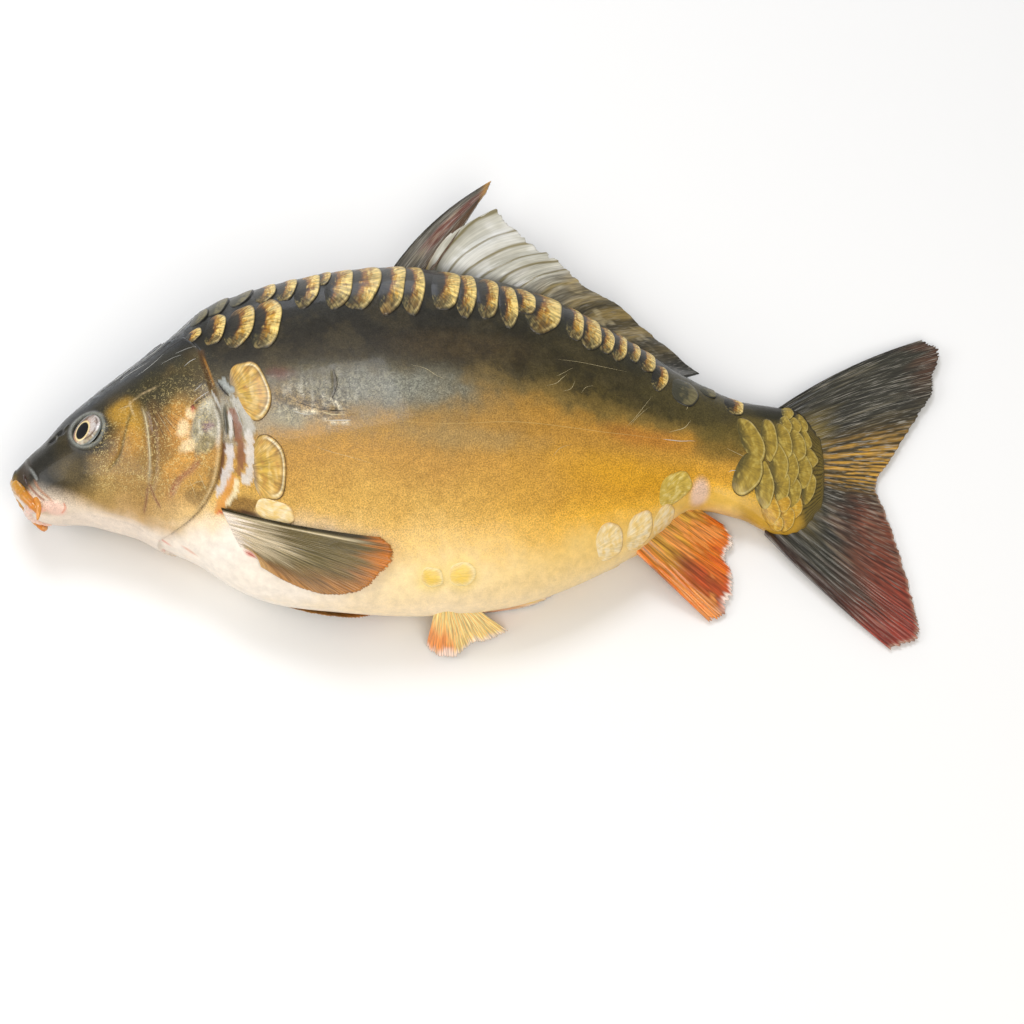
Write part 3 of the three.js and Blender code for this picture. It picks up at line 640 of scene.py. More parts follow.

# Marks on the skin
# The lateral line, the rims of the head bones, cuts, creases and scuffs that handling left on the slime,
# and painted wet glints in silver on the crown. Each is a low ridge of skin or dried slime, under a
# millimetre wide, that follows a line on the flank.

relief_map = relief.reshape(len(ring_x), SIDES)[CAP:CAP + len(rings_x), :LEFT_SIDES]
PALE, SILVER_AND_GLINT, BROWN, DARK, RED = "#cbbb90", "#c3c2bb", "#8d5f3c", "#2a2117", "#a83a26"
RIDGE = 0.1  # how high the ridges stand
CLEAR_OF_FLOOR = 0.02
MARKS = [  # colour, one and a half times the ridge's width, places as (x, angle)
    ("#c6a563", 0.6, [(-20, 98), (20, 98), (57, 96), (96, 97), (115, 98), (128, 101)]),
    (SILVER_AND_GLINT, 1.0, [(126, 101), (130, 102.5), (135, 104), (142, 103)]),
    (PALE, 0.5, [(70, 81), (75, 79), (78, 76), (80, 74)]),
    (PALE, 0.5, [(78, 82), (82, 80), (84, 76)]),
    (PALE, 0.4, [(87, 81), (89, 78), (93, 76)]),
    (PALE, 0.4, [(75, 76), (78, 74), (83, 70)]),
    (PALE, 0.3, [(75, 68), (86, 66), (97, 64), (109, 61)]),
    (PALE, 0.4, [(108, 94), (112, 89), (118, 79), (121, 73)]),
    (PALE, 0.4, [(110, 93), (115, 86), (120, 80)]),
    (PALE, 0.5, [(157, 99), (163, 100), (169, 101)]),
    (SILVER_AND_GLINT, 0.8, [(158, 121), (160, 118), (163, 116)]),
    (PALE, 0.7, [(129, 97), (136, 94), (140, 86)]),
    (PALE, 0.9, [(140, 65), (139, 71), (138, 77)]),
    (PALE, 0.9, [(-36, 95), (-31, 96), (-25, 96)]),
    (SILVER_AND_GLINT, 0.7, [(-34, 98), (-28, 98), (-22, 98)]),
    (DARK, 0.7, [(-57, 88), (-51, 90), (-45, 92), (-37, 94), (-24, 95)]),
    (DARK, 0.5, [(-31, 80), (-29, 86), (-32, 92)]),
    (DARK, 0.5, [(-51, 86), (-47, 88), (-41, 88)]),
    (SILVER_AND_GLINT, 0.5, [(-50, 94), (-44, 95.5), (-38, 95.5)]),
    (PALE, 0.4, [(-40, 106), (-32, 108), (-21, 110), (-11, 112)]),
    (PALE, 0.4, [(6, 79), (13, 80), (18, 82), (22, 83)]),
    (PALE, 0.4, [(73, 108), (76, 105), (82, 103)]),
    (DARK, 0.9, [(-98, 94), (-95.5, 92.4), (-92.5, 90.6), (-89.6, 89)]),
    (SILVER_AND_GLINT, 0.8, [(-96.8, 92.2), (-93, 89.6), (-89.8, 87.8)]),
    (SILVER_AND_GLINT, 0.7, [(-97, 87.4), (-95, 85.9), (-93.2, 84.4)]),
    (PALE, 0.5, [(-93.6, 121.2), (-91.7, 125), (-89.4, 129)]),
    (PALE, 0.4, [(-101.7, 130.2), (-97.8, 128), (-93, 125), (-88.5, 123.5)]),
    (PALE, 0.4, [(-98.5, 125), (-96.5, 128.8), (-94.9, 132.5)]),
    (DARK, 0.5, [(-116.9, 89.5), (-111.7, 102), (-108.8, 108.5)]),
    (DARK, 0.5, [(-114.9, 89), (-109.8, 99.8), (-105.9, 107)]),
    (DARK, 0.6, [(-113, 91), (-107.8, 99.2), (-104, 104.5)]),
    (DARK, 0.5, [(-111.1, 92), (-106.2, 99.2), (-103, 102.2)]),
    (DARK, 0.5, [(-109.4, 93.2), (-105.2, 98), (-102.2, 100.6)]),
    (DARK, 0.4, [(-108.1, 93), (-103.6, 96.5), (-100.6, 98.6)]),
    (DARK, 0.4, [(-115.3, 85.5), (-112, 91.2), (-109.1, 96.2)]),
    (PALE, 0.4, [(-116.5, 93), (-114.6, 97), (-113.4, 100)]),
    (PALE, 0.4, [(-114.4, 91.5), (-110, 99.5), (-107.4, 103.6)]),
    (PALE, 0.4, [(-111.6, 93.5), (-107.4, 99), (-104.6, 102.4)]),
    # a painted wet glint in silver on the slime
    (SILVER_AND_GLINT, 0.9, [(-102.4, 72.6), (-99.4, 71.4), (-96.6, 71.2)]),
    (PALE, 0.5, [(-134, 79), (-129, 80), (-126, 82)]),
    # Crown and nape: the silver lines are painted wet glints, between dark streaks.
    (SILVER_AND_GLINT, 0.6, [(-107, 60), (-102, 62), (-97, 64)]),
    (SILVER_AND_GLINT, 0.7, [(-141, 34), (-133, 36), (-126, 33)]),
    (DARK, 0.8, [(-146, 40), (-136, 42), (-127, 38)]),
    (SILVER_AND_GLINT, 0.5, [(-112, 28), (-105, 31), (-98, 28)]),
    (DARK, 0.7, [(-116, 52), (-109, 51), (-102, 54)]),
    (SILVER_AND_GLINT, 0.5, [(-126, 57), (-119, 56), (-113, 53)]),
    (DARK, 0.7, [(-122, 30), (-114, 34), (-106, 40)]),
    (SILVER_AND_GLINT, 0.4, [(-114, 61), (-108, 62), (-104, 64)]),
    (PALE, 0.8, [(-121.5, 86), (-120, 92), (-118.5, 100), (-117.6, 108), (-117, 116), (-117.2, 123)]),
    (BROWN, 0.6, [(-118, 131), (-119, 141), (-120.5, 152)]),
    (BROWN, 0.6, [(-117.5, 129), (-115, 137), (-112, 143)]),
    (RED, 0.7, [(-72.5, 149), (-69, 149.6), (-65.5, 151)]),
    (SILVER_AND_GLINT, 0.6, [(-88.6, 86.8), (-86, 91), (-83.8, 94.2)]),
    (DARK, 0.6, [(-86.2, 82.5), (-83.3, 85.9), (-80, 88.8)]),
    (DARK, 0.5, [(-82, 94), (-81, 99), (-80.8, 105)]),
    (DARK, 0.4, [(-79.6, 95), (-77.6, 99.5), (-76.9, 104)]),
    (SILVER_AND_GLINT, 0.5, [(-77.6, 92), (-75.2, 96), (-73, 101)]),
    # More painted wet glints in silver on the crown, beside a dark streak.
    (DARK, 0.4, [(-128, 42), (-119, 45), (-110, 44)]),
    (SILVER_AND_GLINT, 0.6, [(-124, 38), (-117, 40), (-111, 38)]),
    (SILVER_AND_GLINT, 0.5, [(-134, 46), (-127, 47), (-121, 50)]),
]


def raised(x, angle):
    """How far the nearest corners of the skin mesh are pressed out at a place on the left flank."""
    i = np.clip(np.searchsorted(rings_x, x), 1, len(rings_x) - 1)
    j = np.clip((angle / 180 * LEFT_SIDES).astype(int), 0, LEFT_SIDES - 2)
    corners = [relief_map[i - 1, j], relief_map[i, j], relief_map[i - 1, j + 1], relief_map[i, j + 1]]
    return np.max(corners, axis=0)


places, faces, tints = [], [], []
for hexcode, width, line in MARKS:
    steps = 12 * (len(line) - 1) + 1
    x, angle = curve(line, steps).T
    lift = raised(x, angle)
    taper = np.sin(np.linspace(0.04, 0.96, steps) * math.pi) ** 0.6
    for side in (1, -1):
        turned = angle if side > 0 else 360 - angle
        centre = skin(x, turned, lift)
        _, _, out = skin_frame(x, turned)
        across = np.cross(np.gradient(centre, axis=0), out)
        across *= (width * 0.33 * taper / np.linalg.norm(across, axis=1))[:, None] * side
        crest = centre + out * (RIDGE * taper)[:, None]
        foot = centre - 0.1 * out
        first = sum(len(block) for block in places)
        places.append(np.stack([foot - across, crest, foot + across], axis=1).reshape(-1, 3))
        tints.append(np.tile(rgb(hexcode), (3 * steps, 1)))
        for k in range(first, first + 3 * steps - 3, 3):
            faces += [(k, k + 3, k + 4, k + 1), (k + 1, k + 4, k + 5, k + 2)]
places = np.vstack(places)
places[:, 2] = np.maximum(places[:, 2], CLEAR_OF_FLOOR)
plain = np.zeros((len(places), 3))
piece("skin_marks", places, faces, wet_skin, {"tint": np.vstack(tints), "finish": plain})

# Eyes
# A clear wet cornea over a silvery-pink iris with a thin gold ring round a tall black pupil.
# Each eyeball is a low dome that sits in its lid.

EYE_BULGE = 3.0
EYE_SUNK = 1.5
EYE_TUCK = 0.3  # how far the ball reaches under the lid
PUPIL_LONG = 6.6
PUPIL_TALL = 7.8
PUPIL_AHEAD = 2.0

# Wet eyeball: a smooth cornea with a film of water, which gives one small sharp highlight.
eyeball = empty_material("wet_eyeball")
painted = node(eyeball, "ShaderNodeAttribute", {"attribute_name": "tint"})
surface = node(
    eyeball,
    "ShaderNodeBsdfPrincipled",
    {"Roughness": 0.22, "IOR": 1.376, "Coat Weight": 1.0, "Coat Roughness": 0.02, "Coat IOR": 1.376},
    Base_Color=painted,
)
node(eyeball, "ShaderNodeOutputMaterial", Surface=surface)


def disc(rings, sides):
    """Reach from 0 to 1 and turn in radians of a round grid, and its faces, with a point at the hub."""
    reach = np.concatenate([[0.0], np.repeat(np.arange(1, rings + 1) / rings, sides)])
    turn = np.concatenate([[0.0], np.tile(np.arange(sides) * 2 * math.pi / sides, rings)])
    faces = [(0, 1 + i, 1 + (i + 1) % sides) for i in range(sides)]
    for ring in range(rings - 1):
        first = 1 + ring * sides
        for i in range(sides):
            j = (i + 1) % sides
            faces.append((first + i, first + sides + i, first + sides + j, first + j))
    return reach, turn, faces


def coats(base, *layers):
    """A base colour under further coats, each given as its share at every point and its colour."""
    colours = rgb(base)
    for share, hexcode in layers:
        colours = mix(colours, rgb(hexcode), share[:, None])
    return colours


for side in (1, -1):
    angle = EYE_ANGLE if side > 0 else 360 - EYE_ANGLE
    along, around, out = skin_frame(EYE_X, angle)
    reach, turn, faces = disc(40, 72)
    a = reach * np.cos(turn) * (EYE_RADIUS + EYE_TUCK)
    b = reach * np.sin(turn) * (EYE_RADIUS + EYE_TUCK)
    height = EYE_BULGE * np.sqrt(1 - (reach * 0.93) ** 2) - EYE_SUNK
    places = skin(EYE_X, angle) + a[:, None] * along + b[:, None] * around + height[:, None] * out
    places[:, 2] = np.maximum(places[:, 2], 0.1)
    down = b * side
    gap = np.hypot((a + PUPIL_AHEAD) / (PUPIL_LONG / 2), down / (PUPIL_TALL / 2))
    iris_rim = np.hypot(a - 0.5, down + 0.3) - 5.4
    grainy = np.array([noise.noise(Vector((t * 6, r * 9, 3.0))) for r, t in zip(reach, turn)])
    spokes = np.array([noise.noise(Vector((t * 14, r * 2.5, 8.0))) for r, t in zip(reach, turn)])
    colours = coats(
        "#c99a7c",
        (ease(-1, 4, a + 0.6 * grainy), "#cfc8c2"),
        (ease(2.0, 5.5, down + grainy), "#b3a98c"),
        (ease(-1.5, -5.5, down) * (1 - ease(-2, 3, a)), "#a06a48"),
        (ease(0.0, 0.4, grainy) * 0.5, "#96583a"),
        (ease(0.05, 0.4, spokes) * ease(0.5, 0.7, reach) * 0.5, "#6f6257"),
        (ease(0.15, 0.4, -spokes) * ease(-1, 2, a) * 0.7, "#efebe6"),
        (np.exp(-(iris_rim / 0.5) ** 2) * ease(-1, 3, a + down) * 0.85, "#5a3e30"),
        # painted shade: the top of the iris is darkened where the lid shades it
        (ease(-3.0, -6.4, down + 0.25 * a + 0.5 * grainy) * 0.8, "#57524a"),
        (ease(0.8, 0.95, reach), "#6f7572"),
        (1 - ease(1.22, 1.34, gap), "#f0d9a0"),
        (1 - ease(1.02, 1.12, gap), "#06070a"),
    )
    piece("eye_left" if side > 0 else "eye_right", places, faces, eyeball, {"tint": colours})

# Mouth
# Fleshy lips, the upper one yellow orange and the lower one pale, round a small underslung mouth,
# with two pairs of soft barbels: one at the corners and a shorter, darker one on the upper lip.

MOUTH_HEIGHT = 29
LIPS = [  # name, tip (x, y), corner (x, y), reach to each side, radius, colour in front, colour at the corner
    ("lip_upper", (-184.2, -21.5), (-171, -41), 11.5, 3.1, "#c4922a", "#d0802e"),
    ("lip_lower", (-177.6, -36.0), (-167.5, -38.5), 9.0, 2.6, "#e9cdbd", "#eab9a2"),
]
BARBELS = [  # name, from, bend and tip as (x, y, reach to the side), thickness, colour
    ("barbel_corner", (-173, -34, 11.6), (-171.4, -39.5, 12.6), (-171.8, -45.0, 11.4), 1.5, "#dd9440"),
    ("barbel_lip", (-179, -20, 10), (-178.6, -24, 11.8), (-177, -28, 12.2), 0.9, "#3a2417"),
]
LIP_SIDES = 20
BARBEL_RINGS = 24
BARBEL_SIDES = 14
ASIDE = (0.35, -0.6, 0.1)  # a direction that no lip or barbel runs in

# Wet lip flesh: soft thin skin over fat, which lets a little light in and is mottled at about 1.4 mm.
FLESH_GRAIN = 1.4 * MM
flesh = empty_material("wet_lip_flesh")
place = node(flesh, "ShaderNodeTexCoord").outputs["Object"]
painted = node(flesh, "ShaderNodeAttribute", {"attribute_name": "tint"})
mottles = node(flesh, "ShaderNodeTexNoise", {"Scale": 1 / FLESH_GRAIN, "Detail": 3.0}, Vector=place)
light = node(flesh, "ShaderNodeMapRange", {1: 0.3, 2: 0.7, 3: 0.85, 4: 1.15}, Value=mottles)
colour = node(flesh, "ShaderNodeVectorMath", {"operation": "SCALE"}, in0=painted, in3=light)
bump = node(flesh, "ShaderNodeBump", {"Strength": 0.25, "Distance": 0.2 * MM}, Height=mottles)
surface = node(
    flesh,
    "ShaderNodeBsdfPrincipled",
    {"Roughness": 0.3, "IOR": 1.4, "Coat Weight": 0.5, "Coat Roughness": 0.08, "Subsurface Weight": 0.15,
     "Subsurface Radius": (0.003, 0.0015, 0.0008)},
    Base_Color=colour,
    Normal=bump,
)
node(flesh, "ShaderNodeOutputMaterial", Surface=surface)


def tube(line, radii, sides):
    """Places and faces of a closed round tube along a line, with its radius at each point."""
    heading = np.gradient(line, axis=0)
    heading /= np.linalg.norm(heading, axis=1, keepdims=True)
    across = np.cross(heading, ASIDE)
    across /= np.linalg.norm(across, axis=1, keepdims=True)
    upright = np.cross(heading, across)
    turns = (np.arange(sides) * 2 * math.pi / sides)[:, None]
    spokes = np.cos(turns) * across[:, None] + np.sin(turns) * upright[:, None]
    loops = line[:, None] + radii[:, None, None] * spokes
    faces = []
    for ring in range(len(line) - 1):
        for i in range(sides):
            j = (i + 1) % sides
            faces.append((ring * sides + i, ring * sides + j, (ring + 1) * sides + j, (ring + 1) * sides + i))
    faces.append(tuple(reversed(range(sides))))
    faces.append(tuple(range((len(line) - 1) * sides, len(line) * sides)))
    return loops.reshape(-1, 3), faces


for name, tip, corner_at, reach, radius, front, hind in LIPS:
    q = np.linspace(-1, 1, 61)
    bend = 1 - np.cos(q * math.pi / 2)
    line = np.stack([
        mix(tip[0], corner_at[0], bend ** 1.2),
        mix(tip[1], corner_at[1], bend ** 0.85),
        MOUTH_HEIGHT + np.sin(q * math.pi / 2) * reach,
    ], axis=1)
    wrinkles = 0.07 * np.sin(q * 60) + 0.05 * np.sin(q * 37 + 1)
    fullness = 0.3 + 0.7 * np.cos(q * math.pi / 2) ** 0.35 + wrinkles * 0.6
    places, faces = tube(line, radius * fullness, LIP_SIDES)
    share = np.repeat(np.abs(q) ** 1.6, LIP_SIDES)
    grainy = np.array([noise.noise(Vector(p) / 2.2) for p in places])
    colours = coats(front, (np.clip(share + 0.35 * grainy, 0, 1), hind))
    piece(name, places, faces, flesh, {"tint": colours})

for name, start, bend, tip, thick, hexcode in BARBELS:
    for side in (1, -1):
        end = tip if side > 0 else (tip[0], mix(bend[1], tip[1], 0.2), tip[2] - 3)
        line = curve([(x, y, MOUTH_HEIGHT + side * out) for x, y, out in (start, bend, end)], BARBEL_RINGS)
        taper = np.sqrt(np.clip(1 - (np.linspace(0, 1, BARBEL_RINGS) - 0.12) ** 2 * 1.25, 0.02, 1))
        places, faces = tube(line, thick * taper, BARBEL_SIDES)
        colours = np.tile(rgb(hexcode), (len(places), 1))
        piece(f"{name}_{'left' if side > 0 else 'right'}", places, faces, flesh, {"tint": colours})

# Mirror scales
# Big thin bony plates that lie like shingles in the skin: their hind edge is free and their front is sunk.
# One row follows the back, a few stand on the shoulder and belly, and small ones cover the tail root.

SCALE_RINGS = 16
SCALE_SIDES = 56
SCALE_DOME = 0.35
SCALE_PROUD = 0.9
SCALE_SUNK = 0.2
SCALE_SKIRT = 1.4  # how far the free edge reaches down to the skin
STRIAE = 22  # striae in each radian of the fan
RINGS_OUT = 1.3  # how fast the striae change on the way out
FRONT_HUB = 1.4  # the fan's middle lies this far ahead of the scale's, in half lengths

# Gold mirror scale: a horny plate over guanine, which shines like brass foil under a thin wet skin.
# Fine striae fan out from its front edge, and the skin softens its highlight.
gold_scale = empty_material("gold_mirror_scale")
painted = node(gold_scale, "ShaderNodeAttribute", {"attribute_name": "tint"})
growth = node(gold_scale, "ShaderNodeAttribute", {"attribute_name": "growth"}).outputs["Vector"]
finishes = node(gold_scale, "ShaderNodeAttribute", {"attribute_name": "finish"}).outputs["Vector"]
shares = node(gold_scale, "ShaderNodeSeparateXYZ", Vector=finishes)
fan = node(gold_scale, "ShaderNodeTexNoise", {"Scale": 1.0, "Detail": 2.5, "Roughness": 0.6}, Vector=growth)
lines = node(gold_scale, "ShaderNodeMapRange", {1: 0.34, 2: 0.64, 3: -0.55, 4: 0.3}, Value=fan)
light = node(gold_scale, "ShaderNodeMath", ONE_PLUS, in0=lines, in1=shares.outputs["X"])
colour = node(gold_scale, "ShaderNodeVectorMath", {"operation": "SCALE"}, in0=painted, in3=light)
bump = node(gold_scale, "ShaderNodeBump", {"Strength": 0.6, "Distance": 0.2 * MM}, Height=fan)
surface = node(
    gold_scale,
    "ShaderNodeBsdfPrincipled",
    {"Roughness": 0.45, "Specular IOR Level": 0.35, "Coat Weight": 0.25, "Coat Roughness": 0.1},
    Base_Color=colour,
    Normal=bump,
)
node(gold_scale, "ShaderNodeOutputMaterial", Surface=surface)


def scales(name, rows, look, marked, squareness=2.3):
    """Scales at rows of (x, angle, long, tall, lean) on both flanks, coloured by look(u, w, reach, seed).

    u runs from -1 at the sunk front edge to 1 at the free one, w from -1 at the side of the back to 1,
    and reach from 0 in the middle to 1 at the rim. marked says how strongly the striae show, and a
    squareness of 2 is an ellipse."""
    reach, turn, faces = disc(SCALE_RINGS, SCALE_SIDES)
    skirt = np.arange(len(reach) - SCALE_SIDES, len(reach))
    following = np.roll(skirt, -1)
    faces += list(zip(skirt, skirt + SCALE_SIDES, following + SCALE_SIDES, following))
    reach = np.concatenate([reach, reach[skirt]])
    turn = np.concatenate([turn, turn[skirt]])
    hem = np.arange(len(reach)) >= len(reach) - SCALE_SIDES
    square = np.abs(np.cos(turn)) ** squareness + np.abs(np.sin(turn)) ** squareness
    square = square ** (-1 / squareness)
    places, everything, tints, growths = [], [], [], []
    for number, (x, angle, long, tall, lean) in enumerate(rows):
        wobble = 1 + 0.04 * np.sin(2 * turn + number * 1.7) + 0.03 * np.sin(5 * turn + number * 2.9)
        u = reach * np.cos(turn) * square * wobble
        w = reach * np.sin(turn) * square * wobble
        tilt = math.radians(lean)
        along = u * long / 2 * math.cos(tilt) - w * tall / 2 * math.sin(tilt)
        around = u * long / 2 * math.sin(tilt) + w * tall / 2 * math.cos(tilt)
        arc = np.arange(max(angle - 60, 1), angle + 60)
        run = np.linalg.norm(np.diff(skin(x, arc), axis=0), axis=1).cumsum()
        run -= np.interp(angle, arc[1:], run)
        height = SCALE_DOME * (1 - reach ** 2) + mix(-SCALE_SUNK, SCALE_PROUD, (u + 1) / 2)
        height = np.where(hem, height - SCALE_SKIRT, height) - 0.25 * ease(0.9, 1, reach)
        turns = np.arctan2(w, u + FRONT_HUB)
        far = np.hypot(w, u + FRONT_HUB)
        colours = look(u, w, reach, number)
        for side in (1, -1):
            at_angle = np.interp(around, run, arc[1:])
            if side < 0:
                at_angle = 360 - at_angle
            _, _, out = skin_frame(x + along, at_angle)
            spot = skin(x + along, at_angle) + out * height[:, None]
            spot[:, 2] = np.maximum(spot[:, 2], CLEAR_OF_FLOOR)
            first = len(places) * len(reach)
            places.append(spot)
            tints.append(colours)
            own = np.full(len(reach), number * 5.3 + side)  # a place of its own in the noise
            growths.append(np.stack([turns * STRIAE, far * RINGS_OUT, own], axis=1))
            everything += [tuple(first + k for k in (face if side > 0 else face[::-1])) for face in faces]
    shares = np.tile([marked, 0, 0], (len(reach) * len(places), 1))
    fields = {"tint": np.vstack(tints), "growth": np.vstack(growths), "finish": shares}
    piece(name, np.vstack(places), everything, gold_scale, fields)


def uneven(u, w, seed, size=0.35):
    """Unevenness from -1 to 1 over a scale, in blots of that share of its half length."""
    spots = [Vector((p / size, q / size, seed * 3.1)) for p, q in zip(u, w)]
    return np.array([noise.fractal(spot, 0.7, 2.0, 3) for spot in spots])


def crescent(u, w, reach, seed):
    """Gold shows behind a dark hollow of dark skin and painted shadow, where the scale in front covers it,
    with painted highlights.
    """
    rough = uneven(u, w, seed, 0.5)
    fine = uneven(u, w, seed + 50, 0.16)
    chance = random.Random(seed + 11)
    gap = np.hypot(u + 1.3 + chance.uniform(-0.1, 0.16), w * 1.25) - 1.33 + 0.12 * rough + 0.08 * fine
    return coats(
        "#1f1d15",
        (ease(-0.7, -0.2, u + 0.3 * fine) * 0.5, "#3b3524"),
        (ease(-0.14, 0.0, gap), "#4a3217"),
        (ease(-0.02, 0.1, gap), "#8f5c1a"),
        (ease(0.08, 0.4, gap + 0.25 * rough), "#c3932f"),
        # painted highlight on the gold
        (ease(0.25, 0.65, gap + 0.5 * fine) * 0.85, "#f4d884"),
        (ease(0.38, 0.72, w + 0.25 * rough + 0.2 * fine) * 0.92, "#3f3b24"),
        (ease(0.4, 0.7, w) * ease(0.0, 0.4, fine) * 0.6, "#a8935a"),
        (ease(-0.55, -0.95, w + 0.2 * rough) * 0.6, "#8a6530"),
        (ease(0.15, 0.6, rough) * ease(0, 0.1, gap) * 0.25, "#a8742a"),
        # painted highlight along the free hind rim
        (np.exp(-((reach - 0.88) / 0.04) ** 2) * ease(0, 0.5, u) * 0.5, "#f2d892"),
        (ease(0.92, 0.98, reach), "#17140e"),
    )


DORSAL_SCALES = [  # x, angle, long, tall, lean
    (-66.2, 30, 11.5, 23, 2), (-55.8, 31, 10.5, 27, 1), (-45.6, 36, 13.5, 33, 1), (-38.6, 26, 9.5, 20, -2),
    (-30.3, 37, 14.5, 40, 3), (-19.1, 38, 18.5, 43, 4), (-4.7, 39, 14.5, 46, 2), (5.4, 39, 13, 45, 0),
    (21.3, 37, 14.5, 40, 4), (31.1, 39, 11, 41, -1), (41.6, 39, 12, 36, 0), (51.7, 43, 10, 34, -1),
    (59.1, 36, 12, 24, -4), (68.4, 38, 18.5, 39, 6), (83.5, 36, 10.5, 31, -1), (90.8, 38, 12.5, 32, 1),
    (98.9, 40, 8.5, 24, 2), (105.2, 37, 9, 28, 2), (112.7, 34, 7, 21, 2), (118.8, 37, 9, 23, 2),
    (125, 53, 8, 20, 8), (161.4, 42, 10.5, 14, 3),
]
NAPE_SCALES = [
    (-99.6, 53, 10, 9, 17), (-88.9, 54, 10.5, 22, 5), (-77.1, 55, 15, 28, 6), (-64.5, 56, 16.5, 32, 3),
]
scales("scales_back", DORSAL_SCALES + NAPE_SCALES, crescent, 1.0)


def slate(u, w, reach, seed):
    """Grey scales right on the ridge, which the dark skin nearly hides."""
    rough = uneven(u, w, seed)
    return coats(
        "#42402f",
        (ease(-0.2, 0.6, u + 0.6 * rough) * 0.7, "#857a52"),
        (ease(0.88, 0.96, reach), "#161511"),
    )


RIDGE_SCALES = [
    (-97.3, 36, 9.5, 14, 7), (-89, 30, 10.5, 23, 4), (-77.8, 28, 11, 20, 10), (137, 58, 14, 17, 10),
    (148.5, 36, 9, 11, 0),
]
scales("scales_ridge", RIDGE_SCALES, slate, 0.6)


def shoulder(u, w, reach, seed):
    """Two big gold plates with a pale rim, sunk behind the gill cover."""
    rough = uneven(u, w, seed)
    behind_front = ease(-0.2, 0.4, u)
    return coats(
        "#d0a650",
        ((1 - ease(0.2, 0.7, np.hypot(u + 0.1, w))) * 0.8, "#c5a13e"),
        (ease(0.0, 0.5, rough) * 0.6, "#e8c985"),
        (ease(0.1, 0.6, -rough) * 0.5, "#b57a38"),
        (np.exp(-((reach - 0.8) / 0.05) ** 2) * behind_front, "#9a7434"),
        (np.exp(-((reach - 0.88) / 0.04) ** 2) * behind_front, "#ecd9a8"),
        (ease(0.93, 0.98, reach), "#5f4528"),
        (ease(-0.45, -0.8, u) * 0.8, "#8d7f6c"),
    )


scales("scales_shoulder", [(-70.7, 86, 19, 32, -15), (-61.3, 113.5, 17.5, 33, -8)], shoulder, 0.7)


def pearl(u, w, reach, seed):
    """Pale plates under the belly skin. The last two, below the middle, are plain yellow."""
    rough = uneven(u, w, seed)
    layers = [(ease(0.0, 0.6, rough) * 0.7, "#e9c26a"), (ease(0.0, -0.6, rough) * 0.6, "#f8e9c8")]
    if seed > 3:
        layers += [
            ((1 - ease(0.45, 0.95, reach + 0.3 * rough)) * 0.8, "#f0c846"),
            (ease(0.75, 0.95, reach), "#f3dc9c"),
        ]
    else:
        layers.append((ease(0.88, 0.97, reach) * 0.6, "#d8b070"))
    return coats("#f0d497", *layers)


BELLY_SCALES = [
    (-58, 129, 20, 11, 10), (99.5, 153, 13, 20, -10), (114, 156, 13.5, 19, 0), (126, 164, 11, 15, 0),
    (16, 153, 11, 10, 0), (30, 152, 13, 12, 0),
]
scales("scales_belly", BELLY_SCALES, pearl, 0.3)


def foil(u, w, reach, seed):
    """One bright crumpled-looking plate above the vent."""
    rough = uneven(u, w, seed, 0.35)
    fine = uneven(u, w, seed + 9, 0.12)
    return coats(
        "#cfb04a",
        (ease(0.0, 0.5, rough + 0.5 * fine) * 0.6, "#ecd88c"),
        (ease(0.1, 0.5, -rough + 0.4 * fine) * 0.5, "#ab8c32"),
        (ease(0.92, 0.98, reach) * 0.7, "#b28a2a"),
    )


scales("scales_vent", [(131.5, 139, 17, 15, 0)], foil, 0.4)

YELLOW_PLATES = range(15, 20)  # those of the belly side, as yellow as the skin round them


def khaki(u, w, reach, seed):
    """Narrow overlapping plates, dark where they come out of the skin, with a pale hind rim."""
    rough = uneven(u, w, seed)
    front, plate, dull, bright, edge = "#544a20", "#a88c34", "#7f6c2c", "#cfb960", "#1d190c"
    if seed in YELLOW_PLATES:
        front, plate, dull, bright, edge = "#a27a26", "#c99a2c", "#a5792a", "#e6c868", "#5e4513"
    return coats(
        front,
        (ease(-0.75, 0.1, u + 0.2 * rough), plate),
        (ease(0.0, 0.6, -rough) * 0.45, dull),
        (ease(0.1, 0.6, rough) * 0.45, bright),
        (np.exp(-((reach - 0.87) / 0.035) ** 2) * ease(0, 0.6, u) * 0.6, "#dccd88"),
        (ease(0.93, 0.98, reach) * ease(-0.7, -0.1, u), edge),
    )


TAIL_ROOT_SCALES = [
    (169.2, 81, 13, 24, -17), (167.3, 114, 12, 30, 24), (178.2, 74, 9, 24, -2), (175.1, 118, 11, 24, 2),
    (185.3, 73, 9, 22, -5), (182.5, 95, 10, 24, -3), (184, 114, 8.5, 18, 7), (186.9, 54, 6.5, 12, -3),
    (191.9, 75, 10, 19, -3), (188.5, 98, 8.5, 20, 1), (189.5, 119, 9, 16, 6), (191.5, 51, 6.5, 10, -9),
    (194.9, 43, 6.5, 11, -6), (196.6, 65, 6.5, 11, -7), (194.8, 99, 10, 19, 1), (190.5, 134, 7.5, 12, 8),
    (184.2, 129, 8, 11, 2), (186.1, 147, 8.5, 13, 11), (178.2, 140, 10.5, 15, 6), (180.4, 153, 9, 10, 5),
    (198.6, 84, 8, 11, -5), (197.5, 116, 8, 16, 6), (188.2, 30, 6.5, 11, 0),
]
scales("scales_tail_root", TAIL_ROOT_SCALES, khaki, 0.45, 1.8)

# Fins
# Thin wet webs over horny rays that branch towards the rim. The rim is a little torn and the rays stand
# out of it. The front ray of the back fin is a stout bony spine, and the tail is the biggest of them.

ROWS = 64
PER_RAY = 16
SMOOTH = 600  # places on a root or rim before the rays are spaced out on it
FIBRES = 11  # fibres to each ray
FIBRE_LONG = 15  # how long a fibre runs before it changes

